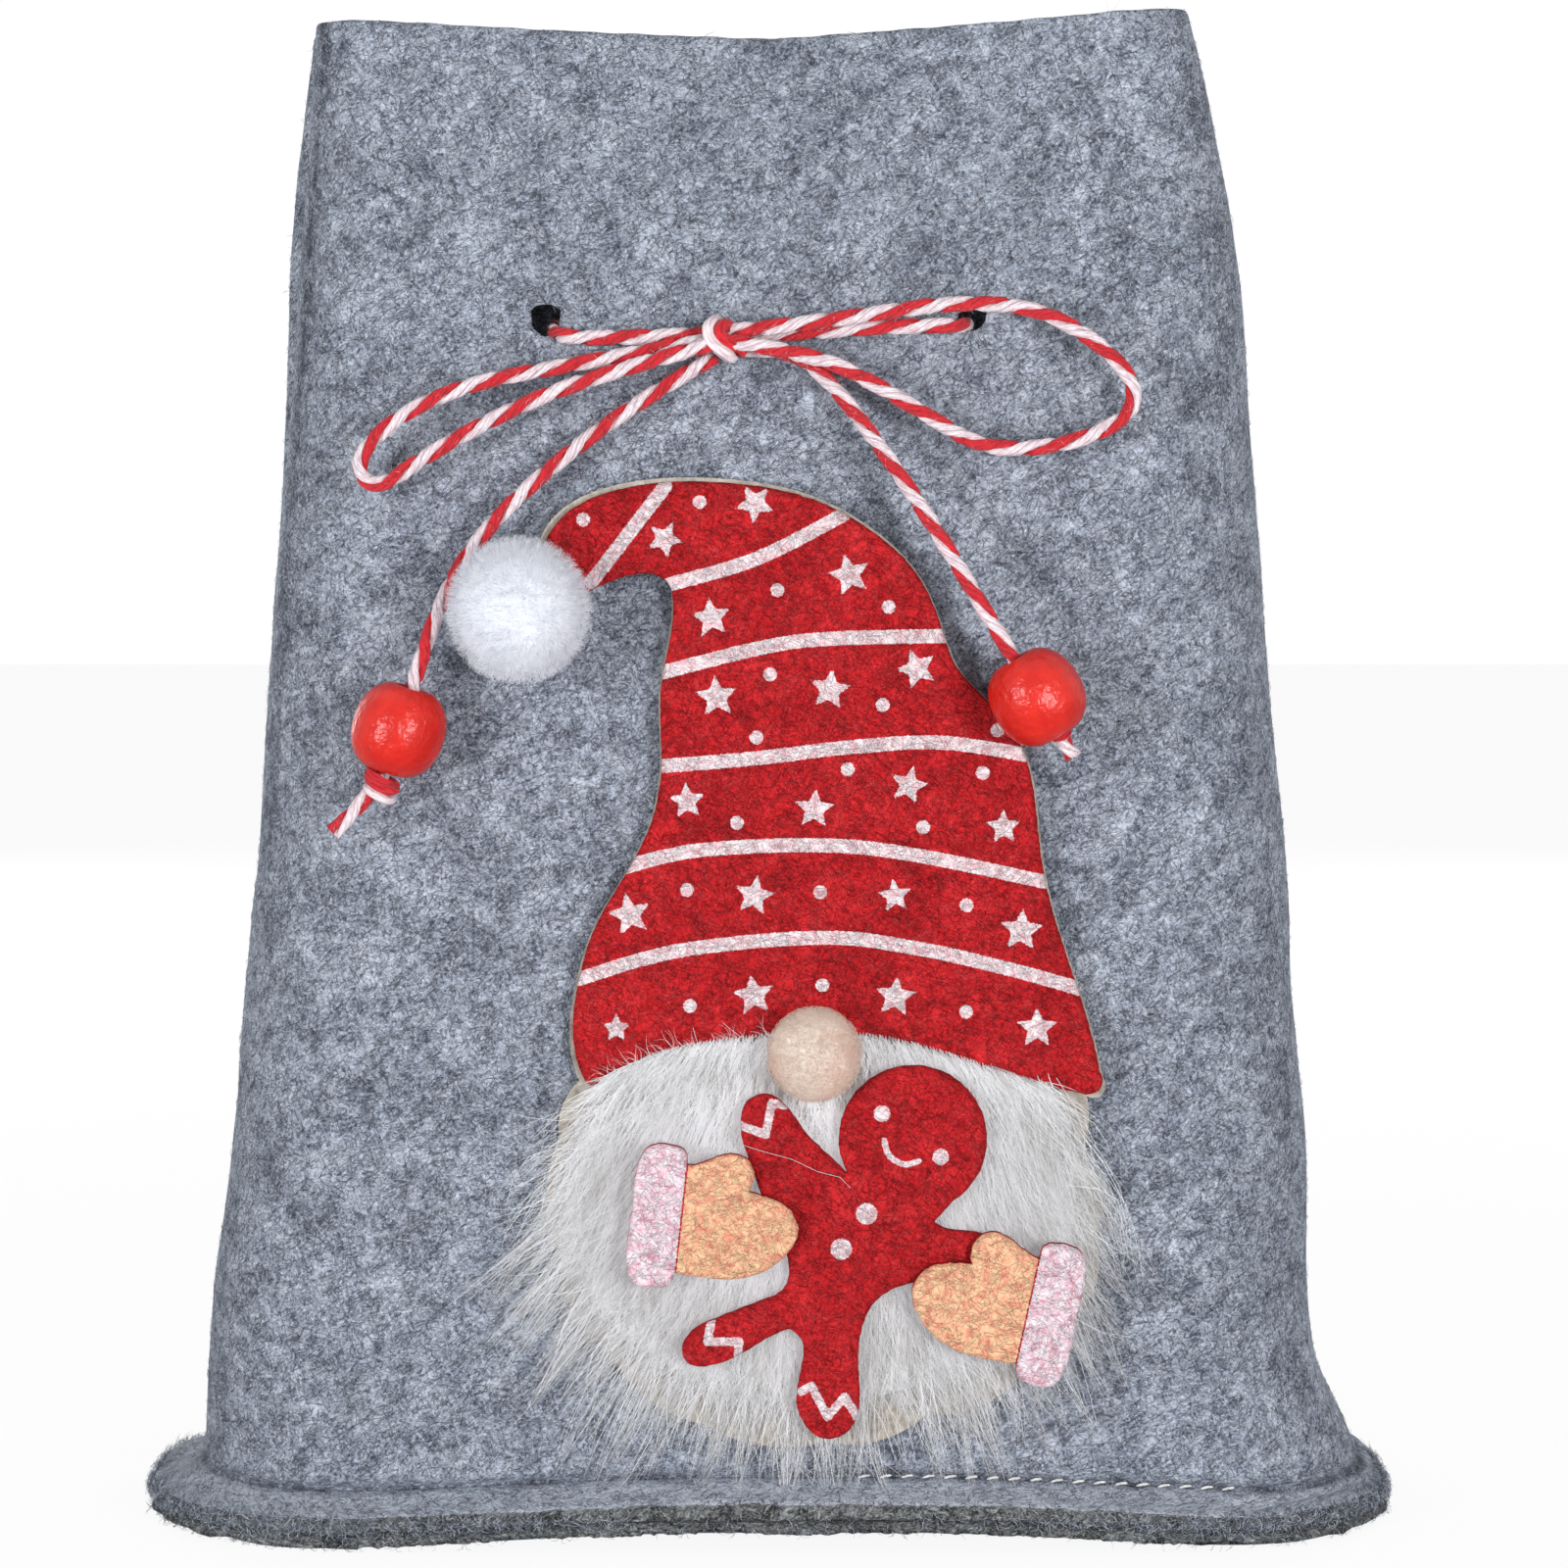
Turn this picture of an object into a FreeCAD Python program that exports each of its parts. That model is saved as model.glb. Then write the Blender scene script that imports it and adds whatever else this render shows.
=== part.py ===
import FreeCAD, Part

import math
import os
import re
import Sketcher

# Felt gift bag with a tomte gnome glued on its front, tied with a two-ply twine that carries two
# wooden beads. Millimetres, +Z up, the front of the bag towards -Y. The origin is the middle of the
# bag's underside, on the surface that it stands on.

V = FreeCAD.Vector
TOL = 1e-6

os.makedirs("parts", exist_ok=True)
doc = FreeCAD.newDocument("gift_bag")
sheet = doc.addObject("Spreadsheet::Sheet", "Sizes")

SIZES = {
    # bag: felt, base and hem
    "felt": 2.0,                # thickness of the bag's felt
    "seam_gap": 0.15,           # play between two sewn layers
    "base_width": 162.0,        # outside of the wall at its foot
    "base_depth": 60.0,
    "base_corner": 24.0,
    "hem_width": 8.0,           # how far the hem turns out past the wall
    "hem_drop": 3.0,            # how far it slopes down on the way
    "floor_rise": 3.0,          # the base panel's ridge under the seam
    "floor_flat": 9.0,          # from the wall's face in to the flat floor
    "ridge_width": 2.5,
    # bag: wall
    "shoulder_height": 150.0,   # the front is flat and upright up to here
    "shoulder_width": 138.0,
    "shoulder_corner": 22.0,
    "tie_height": 170.5,
    "tie_width": 134.5,
    "tie_depth": 55.0,
    "tie_corner": 18.0,
    "mouth_height": 216.0,
    "mouth_width": 121.0,
    "mouth_depth": 50.0,
    "mouth_corner": 9.0,
    "mouth_pinch": 11.0,        # the rim's middle is drawn in this far
    "mouth_shift": -2.5,        # the mouth leans to the left
    "rim_left": 212.0,
    "rim_middle": 210.0,
    "rim_right": 214.0,
    "seam_allowance": 6.0,      # the side seams, turned to the inside
    "hole_diameter": 4.6,
    "hole_left": 31.0,
    "hole_right": 28.0,
    # gnome: placed by its nose, built up in layers from the wall
    "gnome_x": 6.2,
    "gnome_z": 69.6,
    "glue": 0.8,
    "glue_dot": 9.0,
    "board": 1.5,
    "board_margin": 0.9,        # the board shows this far past the hat
    "hat_width": 77.0,
    "hat_height": 84.0,
    "hat_felt": 2.0,
    "beard_width": 76.0,
    "beard_height": 62.0,
    "fur": 3.6,
    "play": 0.3,                # between a loose piece and its neighbour
    "nose_diameter": 12.6,
    "nose_press": 1.2,          # the ball is glued on and dents the brim
    "pompom_diameter": 18.9,
    "pompom_x": 40.4,
    "pompom_z": 61.1,
    "ginger_width": 44.0,
    "ginger_height": 52.0,
    "ginger_head": 20.4,
    "ginger_x": 3.7,
    "ginger_z": 28.0,
    "mitten_width": 23.0,
    "mitten_height": 20.0,
    "mitten_left_x": 21.5,
    "mitten_left_z": 22.4,
    "mitten_left_turn": -6.4,
    "mitten_right_x": 32.5,
    "mitten_right_z": 36.2,
    "mitten_right_turn": -12.2,
    # tie
    "twine": 2.0,
    "knot_height": 6.4,         # outside of the turns round the bow's knot
    "stopper_left": 4.7,
    "stopper_right": 4.2,
    # beads
    "bead_diameter": 12.8,
    "bead_length": 12.0,
    "bead_bore": 3.4,
    "bead_flat": 6.0,
    "bead_chamfer": 0.7,
}
for row, (alias, number) in enumerate(SIZES.items(), start=1):
    sheet.set(f"A{row}", alias)
    sheet.set(f"B{row}", str(number))
    sheet.setAlias(f"B{row}", alias)
doc.recompute()


def size(expression):
    """The number that an expression on the sheet gives, such as "base_width / 2"."""
    return float(sheet.evalExpression(expression))


def linked(expression):
    """The same expression as another object of the document writes it."""
    return re.sub(r"[a-z][a-z_]+", r"Sizes.\g<0>", expression)


def bind(thing, **expressions):
    """Binds properties; two underscores stand for a dot, as in Placement__Base__x."""
    for name, expression in expressions.items():
        thing.setExpression(name.replace("__", "."), linked(expression))
    return thing


# ---------------------------------------------------------------- bag: plan sections of the wall

FRONT, RIGHT, BACK, LEFT = range(4)


def plan_points(half_width, half_depth, corner, pinch):
    """End points and middles of the eight edges of a section, from the front edge, anticlockwise.

    The front and back edges bow in by pinch. Their arc and the corner's arc touch where the line
    between the two centres meets them.
    """
    cx, cy = half_width - corner, half_depth - corner
    if pinch > 0:
        reach = (cx * cx + pinch * pinch) / (2 * pinch)
        bow_y = half_depth - pinch + reach - corner
        way = V(-cx, bow_y - cy, 0).normalize()
        touch = V(cx, cy, 0) + way * corner
        turn = math.atan2(way.y, way.x)
        front_middle = V(0, half_depth - pinch, 0)
    else:
        touch = V(cx, half_depth, 0)
        turn = math.pi / 2
        front_middle = None
    corner_middle = V(cx + corner * math.cos(turn / 2), cy + corner * math.sin(turn / 2), 0)
    side = V(half_width, cy, 0)
    return touch, corner_middle, side, front_middle


def plan_sketch(name, level, half_width, half_depth, corner, pinch=None, shift="0"):
    """A closed section of the bag at one height, with its sizes bound to the sheet."""
    sketch = doc.addObject("Sketcher::SketchObject", name)
    bind(sketch, Placement__Base__z=level, Placement__Base__x=shift)
    bow = size(pinch) if pinch else 0
    touch, middle, side, bow_middle = plan_points(size(half_width), size(half_depth), size(corner), bow)
    quarters = []
    for sx, sy in ((1, -1), (1, 1), (-1, 1), (-1, -1)):
        flip = [V(sx * p.x, sy * p.y, 0) for p in (touch, middle, side)]
        quarters.append(flip)
    rf, rb, lb, lf = quarters

    def straight(a, b):
        return sketch.addGeometry(Part.LineSegment(a, b), False)

    def bowed(a, b, sy):
        if bow:
            return sketch.addGeometry(Part.Arc(a, V(0, sy * bow_middle.y, 0), b), False)
        return straight(a, b)

    def rounded(a, m, b):
        return sketch.addGeometry(Part.Arc(a, m, b), False)

    front = bowed(lf[0], rf[0], -1)
    corner_rf = rounded(*rf)
    right = straight(rf[2], rb[2])
    corner_rb = rounded(*reversed(rb))
    back = bowed(rb[0], lb[0], 1)
    corner_lb = rounded(*lb)
    left = straight(lb[2], lf[2])
    corner_lf = rounded(*reversed(lf))

    # an arc always runs anticlockwise, so a bowed edge starts at its other end
    edge_start, edge_end = (2, 1) if bow else (1, 2)
    joins = [
        (front, edge_end, corner_rf, 1),
        (corner_rf, 2, right, 1),
        (right, 2, corner_rb, 1),
        (corner_rb, 2, back, edge_start),
        (back, edge_end, corner_lb, 1),
        (corner_lb, 2, left, 1),
        (left, 2, corner_lf, 1),
        (corner_lf, 2, front, edge_start),
    ]
    for first, first_end, second, second_end in joins:
        sketch.addConstraint(Sketcher.Constraint("Tangent", first, first_end, second, second_end))
    sketch.addConstraint(Sketcher.Constraint("Symmetric", right, 1, left, 2, -2))
    sketch.addConstraint(Sketcher.Constraint("Symmetric", right, 1, right, 2, -1))
    for other in (corner_rb, corner_lb, corner_lf):
        sketch.addConstraint(Sketcher.Constraint("Equal", corner_rf, other))
    if bow:
        sketch.addConstraint(Sketcher.Constraint("Equal", front, back))
        sketch.addConstraint(Sketcher.Constraint("PointOnObject", front, 3, -2))
        sketch.addConstraint(Sketcher.Constraint("PointOnObject", back, 3, -2))
    else:
        sketch.addConstraint(Sketcher.Constraint("Horizontal", front))
        sketch.addConstraint(Sketcher.Constraint("Equal", right, left))

    def dimension(kind, expression, label, *where):
        index = sketch.addConstraint(Sketcher.Constraint(kind, *where, size(expression)))
        sketch.renameConstraint(index, label)
        sketch.setExpression(f"Constraints.{label}", linked(expression))

    dimension("Radius", corner, "corner", corner_rf)
    dimension("DistanceX", half_width, "half_width", -1, 1, right, 1)
    if bow:
        cy = f"({half_depth}) - ({corner})"
        dimension("DistanceY", cy, "corner_centre", right, 1, -1, 1)
        cx = f"(({half_width}) - ({corner}))"
        reach = f"({cx} ^ 2 + ({pinch}) ^ 2) / (2 * ({pinch})) - ({corner})"
        dimension("Radius", reach, "bow", front)
    else:
        dimension("DistanceY", half_depth, "half_depth", front, 1, -1, 1)
    return sketch


def loft(name, sections, ruled):
    """A solid through closed sections, in order of height."""
    thing = doc.addObject("Part::Loft", name)
    thing.Sections = sections
    thing.Solid = True
    thing.Ruled = ruled
    return thing


def foot_section(name, level, grow):
    """A section parallel to the wall's foot, larger by grow."""
    return plan_sketch(
        name,
        level,
        f"base_width / 2 + {grow}",
        f"base_depth / 2 + {grow}",
        f"base_corner + {grow}",
    )


def shoulder_section(name, inset):
    return plan_sketch(
        name,
        "shoulder_height",
        f"shoulder_width / 2 - {inset}",
        f"base_depth / 2 - {inset}",
        f"shoulder_corner - {inset}",
    )


def tie_section(name, inset):
    return plan_sketch(
        name,
        "tie_height",
        f"tie_width / 2 - {inset}",
        f"tie_depth / 2 - {inset}",
        f"tie_corner - {inset}",
    )


def mouth_section(name, inset):
    return plan_sketch(
        name,
        "mouth_height",
        f"mouth_width / 2 - {inset}",
        f"mouth_depth / 2 - {inset}",
        f"mouth_corner - {inset}",
        pinch="mouth_pinch",
        shift="mouth_shift",
    )


def combine(kind, name, base, tool):
    """A Part boolean of two objects."""
    thing = doc.addObject(kind, name)
    thing.Base = base
    thing.Tool = tool
    return thing


def fused(name, shapes):
    thing = doc.addObject("Part::MultiFuse", name)
    thing.Shapes = shapes
    return thing


# ---------------------------------------------------------------- bag: wall

# The hem turns out over the base panel's rim and slopes down to its edge. Above it the wall is ruled
# up to the shoulder, and leans back from there to a mouth whose middle is drawn in by the tie.
hem_top = foot_section("hem_top", "felt * 2 + seam_gap", "hem_width")
hem_edge = foot_section("hem_edge", "felt + seam_gap", "hem_width")
wall_foot = foot_section("wall_foot", "felt * 2 + hem_drop + seam_gap", "0")
shoulder_outer = shoulder_section("shoulder_outer", "0")
shoulder_inner = shoulder_section("shoulder_inner", "felt")
inner_foot_rise = "felt + seam_gap + hem_drop * (hem_width + felt) / (hem_width + 1)"
inner_edge = foot_section("inner_edge", "felt + seam_gap", "hem_width")
inner_foot = foot_section("inner_foot", inner_foot_rise, "-felt")

lower_outside = loft("lower_outside", [hem_edge, hem_top, wall_foot, shoulder_outer], True)
lower_inside = loft("lower_inside", [inner_edge, inner_foot, shoulder_inner], True)
upper_outside = loft(
    "upper_outside",
    [
        shoulder_section("shoulder_outer_2", "0"),
        tie_section("tie_outer", "0"),
        mouth_section("mouth_outer", "0"),
    ],
    False,
)
upper_inside = loft(
    "upper_inside",
    [
        shoulder_section("shoulder_inner_2", "felt"),
        tie_section("tie_inner", "felt"),
        mouth_section("mouth_inner", "felt"),
    ],
    False,
)
bag_outside = fused("bag_outside", [lower_outside, upper_outside])
bag_inside = fused("bag_inside", [lower_inside, upper_inside])


def between_allowances(name, level, width, shift="0"):
    """A section of the room that the two side seams' allowances leave between them."""
    half_width = f"{width} / 2 - felt - seam_allowance"
    return plan_sketch(name, level, half_width, "base_depth / 2", "felt", shift=shift)


lower_room = loft(
    "lower_room",
    [
        between_allowances("room_foot", inner_foot_rise, "base_width"),
        between_allowances("room_shoulder", "shoulder_height", "shoulder_width"),
    ],
    True,
)
upper_room = loft(
    "upper_room",
    [
        between_allowances("room_shoulder_2", "shoulder_height", "shoulder_width"),
        between_allowances("room_tie", "tie_height", "tie_width"),
        between_allowances("room_mouth", "mouth_height", "mouth_width", "mouth_shift"),
    ],
    False,
)
seam_slab = doc.addObject("Part::Box", "seam_slab")
bind(
    seam_slab,
    Length="base_width * 2",
    Width="felt * 2 + seam_gap",
    Height="mouth_height",
    Placement__Base__x="-base_width",
    Placement__Base__y="-felt - seam_gap / 2",
    Placement__Base__z=inner_foot_rise,
)
allowances = combine("Part::Cut", "allowances", seam_slab, fused("room", [lower_room, upper_room]))
hollow = combine("Part::Cut", "hollow", bag_inside, allowances)
whole_wall = combine("Part::Cut", "whole_wall", bag_outside, hollow)


def front_view_prism(name, points, depth):
    """A prism along Y over a polygon drawn in the front view; each point is a pair of expressions."""
    sketch = doc.addObject("Sketcher::SketchObject", f"{name}_outline")
    sketch.Placement = FreeCAD.Placement(V(0, 0, 0), FreeCAD.Rotation(V(1, 0, 0), 90))
    corners = [V(size(x), size(z), 0) for x, z in points]
    count = len(corners)
    for i in range(count):
        sketch.addGeometry(Part.LineSegment(corners[i], corners[(i + 1) % count]), False)
    for i in range(count):
        sketch.addConstraint(Sketcher.Constraint("Coincident", i, 2, (i + 1) % count, 1))
    for i, (x, z) in enumerate(points):
        for axis, expression in (("X", x), ("Y", z)):
            where = (-1, 1, i, 1)
            index = sketch.addConstraint(Sketcher.Constraint(f"Distance{axis}", *where, size(expression)))
            sketch.renameConstraint(index, f"p{i}_{axis}")
            sketch.setExpression(f"Constraints.p{i}_{axis}", linked(expression))
    prism = doc.addObject("Part::Extrusion", name)
    prism.Base = sketch
    prism.DirMode = "Normal"
    prism.Symmetric = True
    prism.Solid = True
    bind(prism, LengthFwd=depth)
    return prism


# the rim was cut by hand: a shallow V, a little higher on the right
above_rim = front_view_prism(
    "above_rim",
    [
        ("-mouth_width", "2 * rim_left - rim_middle"),
        ("0", "rim_middle"),
        ("mouth_width", "2 * rim_right - rim_middle"),
        ("mouth_width", "mouth_height + 10"),
        ("-mouth_width", "mouth_height + 10"),
    ],
    "base_depth * 2",
)
trimmed_wall = combine("Part::Cut", "trimmed_wall", whole_wall, above_rim)


def tie_hole(name, x):
    """A punched hole that runs through the front and the back of the bag."""
    hole = doc.addObject("Part::Cylinder", name)
    hole.Placement = FreeCAD.Placement(V(0, 0, 0), FreeCAD.Rotation(V(1, 0, 0), 90))
    bind(
        hole,
        Radius="hole_diameter / 2",
        Height="base_depth * 2",
        Placement__Base__x=x,
        Placement__Base__y="base_depth",
        Placement__Base__z="tie_height",
    )
    return hole


tie_holes = fused("tie_holes", [tie_hole("hole_l", "-hole_left"), tie_hole("hole_r", "hole_right")])


def half_bag(name, side):
    """One panel: the wall in front of (side -1) or behind (side 1) the side seams, with its holes."""
    half = doc.addObject("Part::Box", f"{name}_half")
    bind(half, Length="base_width * 2", Width="base_depth * 2", Height="mouth_height * 2")
    bind(half, Placement__Base__x="-base_width")
    bind(half, Placement__Base__y="seam_gap / 2" if side > 0 else "-base_depth * 2 - seam_gap / 2")
    wall = combine("Part::Common", f"{name}_wall", trimmed_wall, half)
    panel = combine("Part::Cut", name, wall, tie_holes)
    return panel


front_panel = half_bag("front_panel", -1)
back_panel = half_bag("back_panel", 1)


# ---------------------------------------------------------------- bag: base panel

# Sewn felt puckers: the floor lies flat in the middle, climbs to a ridge under the seam, and its rim
# turns down again to the edge of the hem.
rim_low = foot_section("rim_low", "0", "hem_width")
rim_high = foot_section("rim_high", "felt", "hem_width")
ridge_out = foot_section("ridge_out", "felt + floor_rise", "-1")
base_outside = loft("base_outside", [rim_low, rim_high, ridge_out], True)
pan_floor = foot_section("pan_floor", "felt", "-floor_flat")
pan_ridge = foot_section("pan_ridge", "felt + floor_rise", "-(1 + ridge_width)")
base_pan = loft("base_pan", [pan_floor, pan_ridge], True)
groove_in_low = foot_section("groove_in_low", "0", "-floor_flat")
groove_in_high = foot_section("groove_in_high", "floor_rise", "-(1 + ridge_width)")
groove_out_low = foot_section("groove_out_low", "0", "(hem_width - felt - 1)")
groove_out_high = foot_section("groove_out_high", "floor_rise", "-felt")
groove = combine(
    "Part::Cut",
    "groove",
    loft("groove_outside", [groove_out_low, groove_out_high], True),
    loft("groove_inside", [groove_in_low, groove_in_high], True),
)
base_top = combine("Part::Cut", "base_top", base_outside, base_pan)
base_panel = combine("Part::Cut", "base_panel", base_top, groove)


# ---------------------------------------------------------------- gnome: flat pieces

WALL_FACE = "-(base_depth / 2)"
BOARD_BACK = f"{WALL_FACE} - glue"
BOARD_FRONT = f"{BOARD_BACK} - board"
HAT_FRONT = f"{BOARD_FRONT} - hat_felt"
FUR_FRONT = f"{BOARD_FRONT} - fur"
MITTEN_BACK = f"{FUR_FRONT} - hat_felt"


def origin_plane(body, role):
    return next(feature for feature in body.Origin.OriginFeatures if feature.Role == role)


def flat_piece(name, runs, thickness, back, x="gnome_x", z="gnome_z", turn=None):
    """A piece cut from sheet: an outline in the front view, padded towards the viewer.

    Each run is a list of points in millimetres. Two points make a straight edge and more make one
    smooth curve; runs meet at corners.
    """
    body = doc.addObject("PartDesign::Body", name)
    sketch = body.newObject("Sketcher::SketchObject", f"{name}_outline")
    sketch.AttachmentSupport = [(origin_plane(body, "XZ_Plane"), "")]
    sketch.MapMode = "FlatFace"
    for run in runs:
        points = [V(u, v, 0) for u, v in run]
        if len(points) == 2:
            edge = Part.LineSegment(*points)
        elif len(points) == 3:
            edge = Part.Arc(*points)
        else:
            edge = Part.BSplineCurve()
            edge.interpolate(points)
        index = sketch.addGeometry(edge, False)
        sketch.addConstraint(Sketcher.Constraint("Block", index))
    pad = body.newObject("PartDesign::Pad", f"{name}_sheet")
    pad.Profile = sketch
    bind(pad, Length=thickness)
    if turn:
        body.Placement = FreeCAD.Placement(V(0, 0, 0), FreeCAD.Rotation(V(0, 1, 0), -size(turn)))
    bind(body, Placement__Base__x=x, Placement__Base__y=back, Placement__Base__z=z)
    return body


def shares(points, width, height):
    """Points given as shares of a piece's width and height, in millimetres."""
    return [(u * size(width), v * size(height)) for u, v in points]


def hat_runs(margin=0.0):
    """The hat's outline about the nose: left side, under the hook, tip, crown and right side, brim."""
    left = [(-0.41, -0.05), (-0.43, 0.02), (-0.42, 0.11), (-0.39, 0.20), (-0.34, 0.28), (-0.29, 0.37),
            (-0.27, 0.47), (-0.27, 0.60), (-0.25, 0.70), (-0.25, 0.75)]
    hook = [(-0.25, 0.75), (-0.27, 0.78), (-0.33, 0.785), (-0.39, 0.765)]
    tip = [(-0.39, 0.765), (-0.45, 0.76), (-0.48, 0.83)]
    crown = [(-0.48, 0.83), (-0.44, 0.88), (-0.36, 0.915), (-0.25, 0.93), (-0.12, 0.925), (0.0, 0.90),
             (0.10, 0.85), (0.18, 0.78), (0.225, 0.69), (0.25, 0.63), (0.32, 0.56), (0.375, 0.48),
             (0.395, 0.38), (0.41, 0.28), (0.44, 0.18), (0.48, 0.07), (0.51, -0.04)]
    cuff = [(0.51, -0.04), (0.508, -0.066), (0.48, -0.068)]
    brim = [(0.48, -0.068), (0.32, -0.03), (0.16, 0.015), (0.0, 0.03), (-0.14, 0.02), (-0.28, -0.005),
            (-0.37, -0.045)]
    ear = [(-0.37, -0.045), (-0.395, -0.058), (-0.41, -0.05)]
    middle_x, middle_z = 0.04, 0.43
    runs = []
    for run in (left, hook, tip, crown, cuff, brim, ear):
        points = []
        for u, v in run:
            x, z = u * size("hat_width"), v * size("hat_height")
            grow_x = 1 + 2 * margin / size("hat_width")
            grow_z = 1 + 2 * margin / size("hat_height")
            centre_x, centre_z = middle_x * size("hat_width"), middle_z * size("hat_height")
            points.append((centre_x + (x - centre_x) * grow_x, centre_z + (z - centre_z) * grow_z))
        runs.append(points)
    return runs


hat = flat_piece("hat", hat_runs(), "hat_felt", BOARD_FRONT)


def scallops(joints, bulge):
    """A cloud edge: an arc out past the middle of each two joints, taken anticlockwise."""
    runs = []
    for i, (ax, az) in enumerate(joints):
        bx, bz = joints[(i + 1) % len(joints)]
        length = math.hypot(bx - ax, bz - az)
        out_x, out_z = (bz - az) / length, -(bx - ax) / length
        middle = ((ax + bx) / 2 + out_x * bulge, (az + bz) / 2 + out_z * bulge)
        runs.append([(ax, az), middle, (bx, bz)])
    return runs


# the board is one die cut: the hat's outline with a margin, and a cloud below it for the beard
BEARD_JOINTS = [(-0.39, -0.05), (-0.455, -0.20), (-0.455, -0.48), (-0.36, -0.70), (-0.20, -0.85), (0.02, -0.89),
                (0.20, -0.83), (0.37, -0.74), (0.47, -0.60), (0.50, -0.42), (0.48, -0.24), (0.45, 0.0)]
cloud_joints = shares(BEARD_JOINTS, "beard_width + board_margin * 2", "beard_height")
cloud_runs = scallops(cloud_joints, size("board_margin * 2"))
board_hat = flat_piece("board_under_hat", hat_runs(size("board_margin")), "board", BOARD_BACK)
board_beard = flat_piece("board_under_beard", cloud_runs, "board", BOARD_BACK)
gnome_board = fused("gnome_board", [board_hat, board_beard])


# the fur pad starts just under the brim, dips round the nose and hangs to a rounded bottom
def beard_runs():
    top = [(-0.40, -0.105), (-0.28, -0.03), (-0.17, 0.005), (-0.105, 0.01)]
    nose_dip = [(-0.105, 0.01), (0.0, -0.14), (0.105, 0.01)]
    top_right = [(0.105, 0.01), (0.20, -0.01), (0.34, -0.065), (0.49, -0.12)]
    side = [(0.49, -0.12), (0.525, -0.26), (0.52, -0.50), (0.44, -0.70), (0.28, -0.84), (0.05, -0.93),
            (-0.17, -0.90), (-0.38, -0.76), (-0.49, -0.56), (-0.49, -0.30), (-0.40, -0.105)]
    return [shares(run, "beard_width", "beard_height") for run in (top, nose_dip, top_right, side)]


beard = flat_piece("beard", beard_runs(), "fur", BOARD_FRONT)


def gingerbread_runs():
    """A gingerbread man that leans to the right, about the middle of his belly."""
    left_arm = [(-0.10, 0.31), (-0.17, 0.39), (-0.23, 0.425), (-0.29, 0.41), (-0.315, 0.35), (-0.28, 0.23),
                (-0.22, 0.09), (-0.165, -0.02), (-0.175, -0.09), (-0.26, -0.13), (-0.38, -0.17),
                (-0.47, -0.21), (-0.50, -0.26), (-0.485, -0.29), (-0.42, -0.30), (-0.32, -0.27),
                (-0.22, -0.22), (-0.165, -0.20)]
    low_leg = [(-0.165, -0.20), (-0.125, -0.23), (-0.125, -0.31), (-0.14, -0.39), (-0.12, -0.45),
               (-0.06, -0.495), (0.01, -0.485), (0.055, -0.42), (0.055, -0.33), (0.06, -0.22),
               (0.105, -0.13), (0.19, -0.085), (0.33, -0.07), (0.45, -0.045), (0.49, 0.0),
               (0.46, 0.045), (0.38, 0.06), (0.29, 0.085)]
    radius = size("ginger_head") / 2
    centre_x, centre_z = 0.225 * size("ginger_width"), 0.306 * size("ginger_height")
    neck = []
    for degrees in (303.0, 45.0, 208.0):
        turn = math.radians(degrees)
        neck.append((centre_x + radius * math.cos(turn), centre_z + radius * math.sin(turn)))
    shoulder_left = [neck[2]] + shares(left_arm[:1], "ginger_width", "ginger_height")
    shoulder_right = shares(low_leg[-1:], "ginger_width", "ginger_height") + [neck[0]]
    return [
        neck,
        shoulder_left,
        shares(left_arm, "ginger_width", "ginger_height"),
        shares(low_leg, "ginger_width", "ginger_height"),
        shoulder_right,
    ]


gingerbread_man = flat_piece(
    "gingerbread_man",
    gingerbread_runs(),
    "hat_felt",
    FUR_FRONT,
    x="gnome_x + ginger_x",
    z="gnome_z - ginger_z",
)


def mitten_runs(side):
    """A mitten about the middle of its cuff: side 1 points its hand right, -1 left."""
    cuff = [(0.135, 0.37), (0.11, 0.47), (0.0, 0.50), (-0.11, 0.46), (-0.15, 0.36), (-0.16, 0.0),
            (-0.15, -0.38), (-0.10, -0.48), (0.02, -0.50), (0.11, -0.46), (0.13, -0.38)]
    palm = [(0.13, -0.38), (0.33, -0.39), (0.52, -0.37), (0.68, -0.29), (0.80, -0.15), (0.84, 0.0),
            (0.79, 0.13), (0.68, 0.20), (0.52, 0.235)]
    thumb = [(0.52, 0.235), (0.54, 0.37), (0.49, 0.46), (0.39, 0.48), (0.26, 0.42), (0.135, 0.37)]
    runs = []
    for run in (cuff, palm, thumb):
        runs.append([(side * u, v) for u, v in shares(run, "mitten_width", "mitten_height")])
    return runs


mitten_left = flat_piece(
    "mitten_left",
    mitten_runs(1),
    "hat_felt",
    MITTEN_BACK,
    x="gnome_x - mitten_left_x",
    z="gnome_z - mitten_left_z",
    turn="mitten_left_turn",
)
mitten_right = flat_piece(
    "mitten_right",
    mitten_runs(-1),
    "hat_felt",
    MITTEN_BACK,
    x="gnome_x + mitten_right_x",
    z="gnome_z - mitten_right_z",
    turn="mitten_right_turn",
)


# ---------------------------------------------------------------- gnome: glue, nose and pompom

def glue_dot(name, x, z):
    """A pressed dot of hot glue between the bag and the board."""
    dot = doc.addObject("Part::Cylinder", name)
    dot.Placement = FreeCAD.Placement(V(0, 0, 0), FreeCAD.Rotation(V(1, 0, 0), 90))
    bind(
        dot,
        Radius="glue_dot / 2",
        Height="glue",
        Placement__Base__x=x,
        Placement__Base__y=WALL_FACE,
        Placement__Base__z=z,
    )
    return dot


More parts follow.
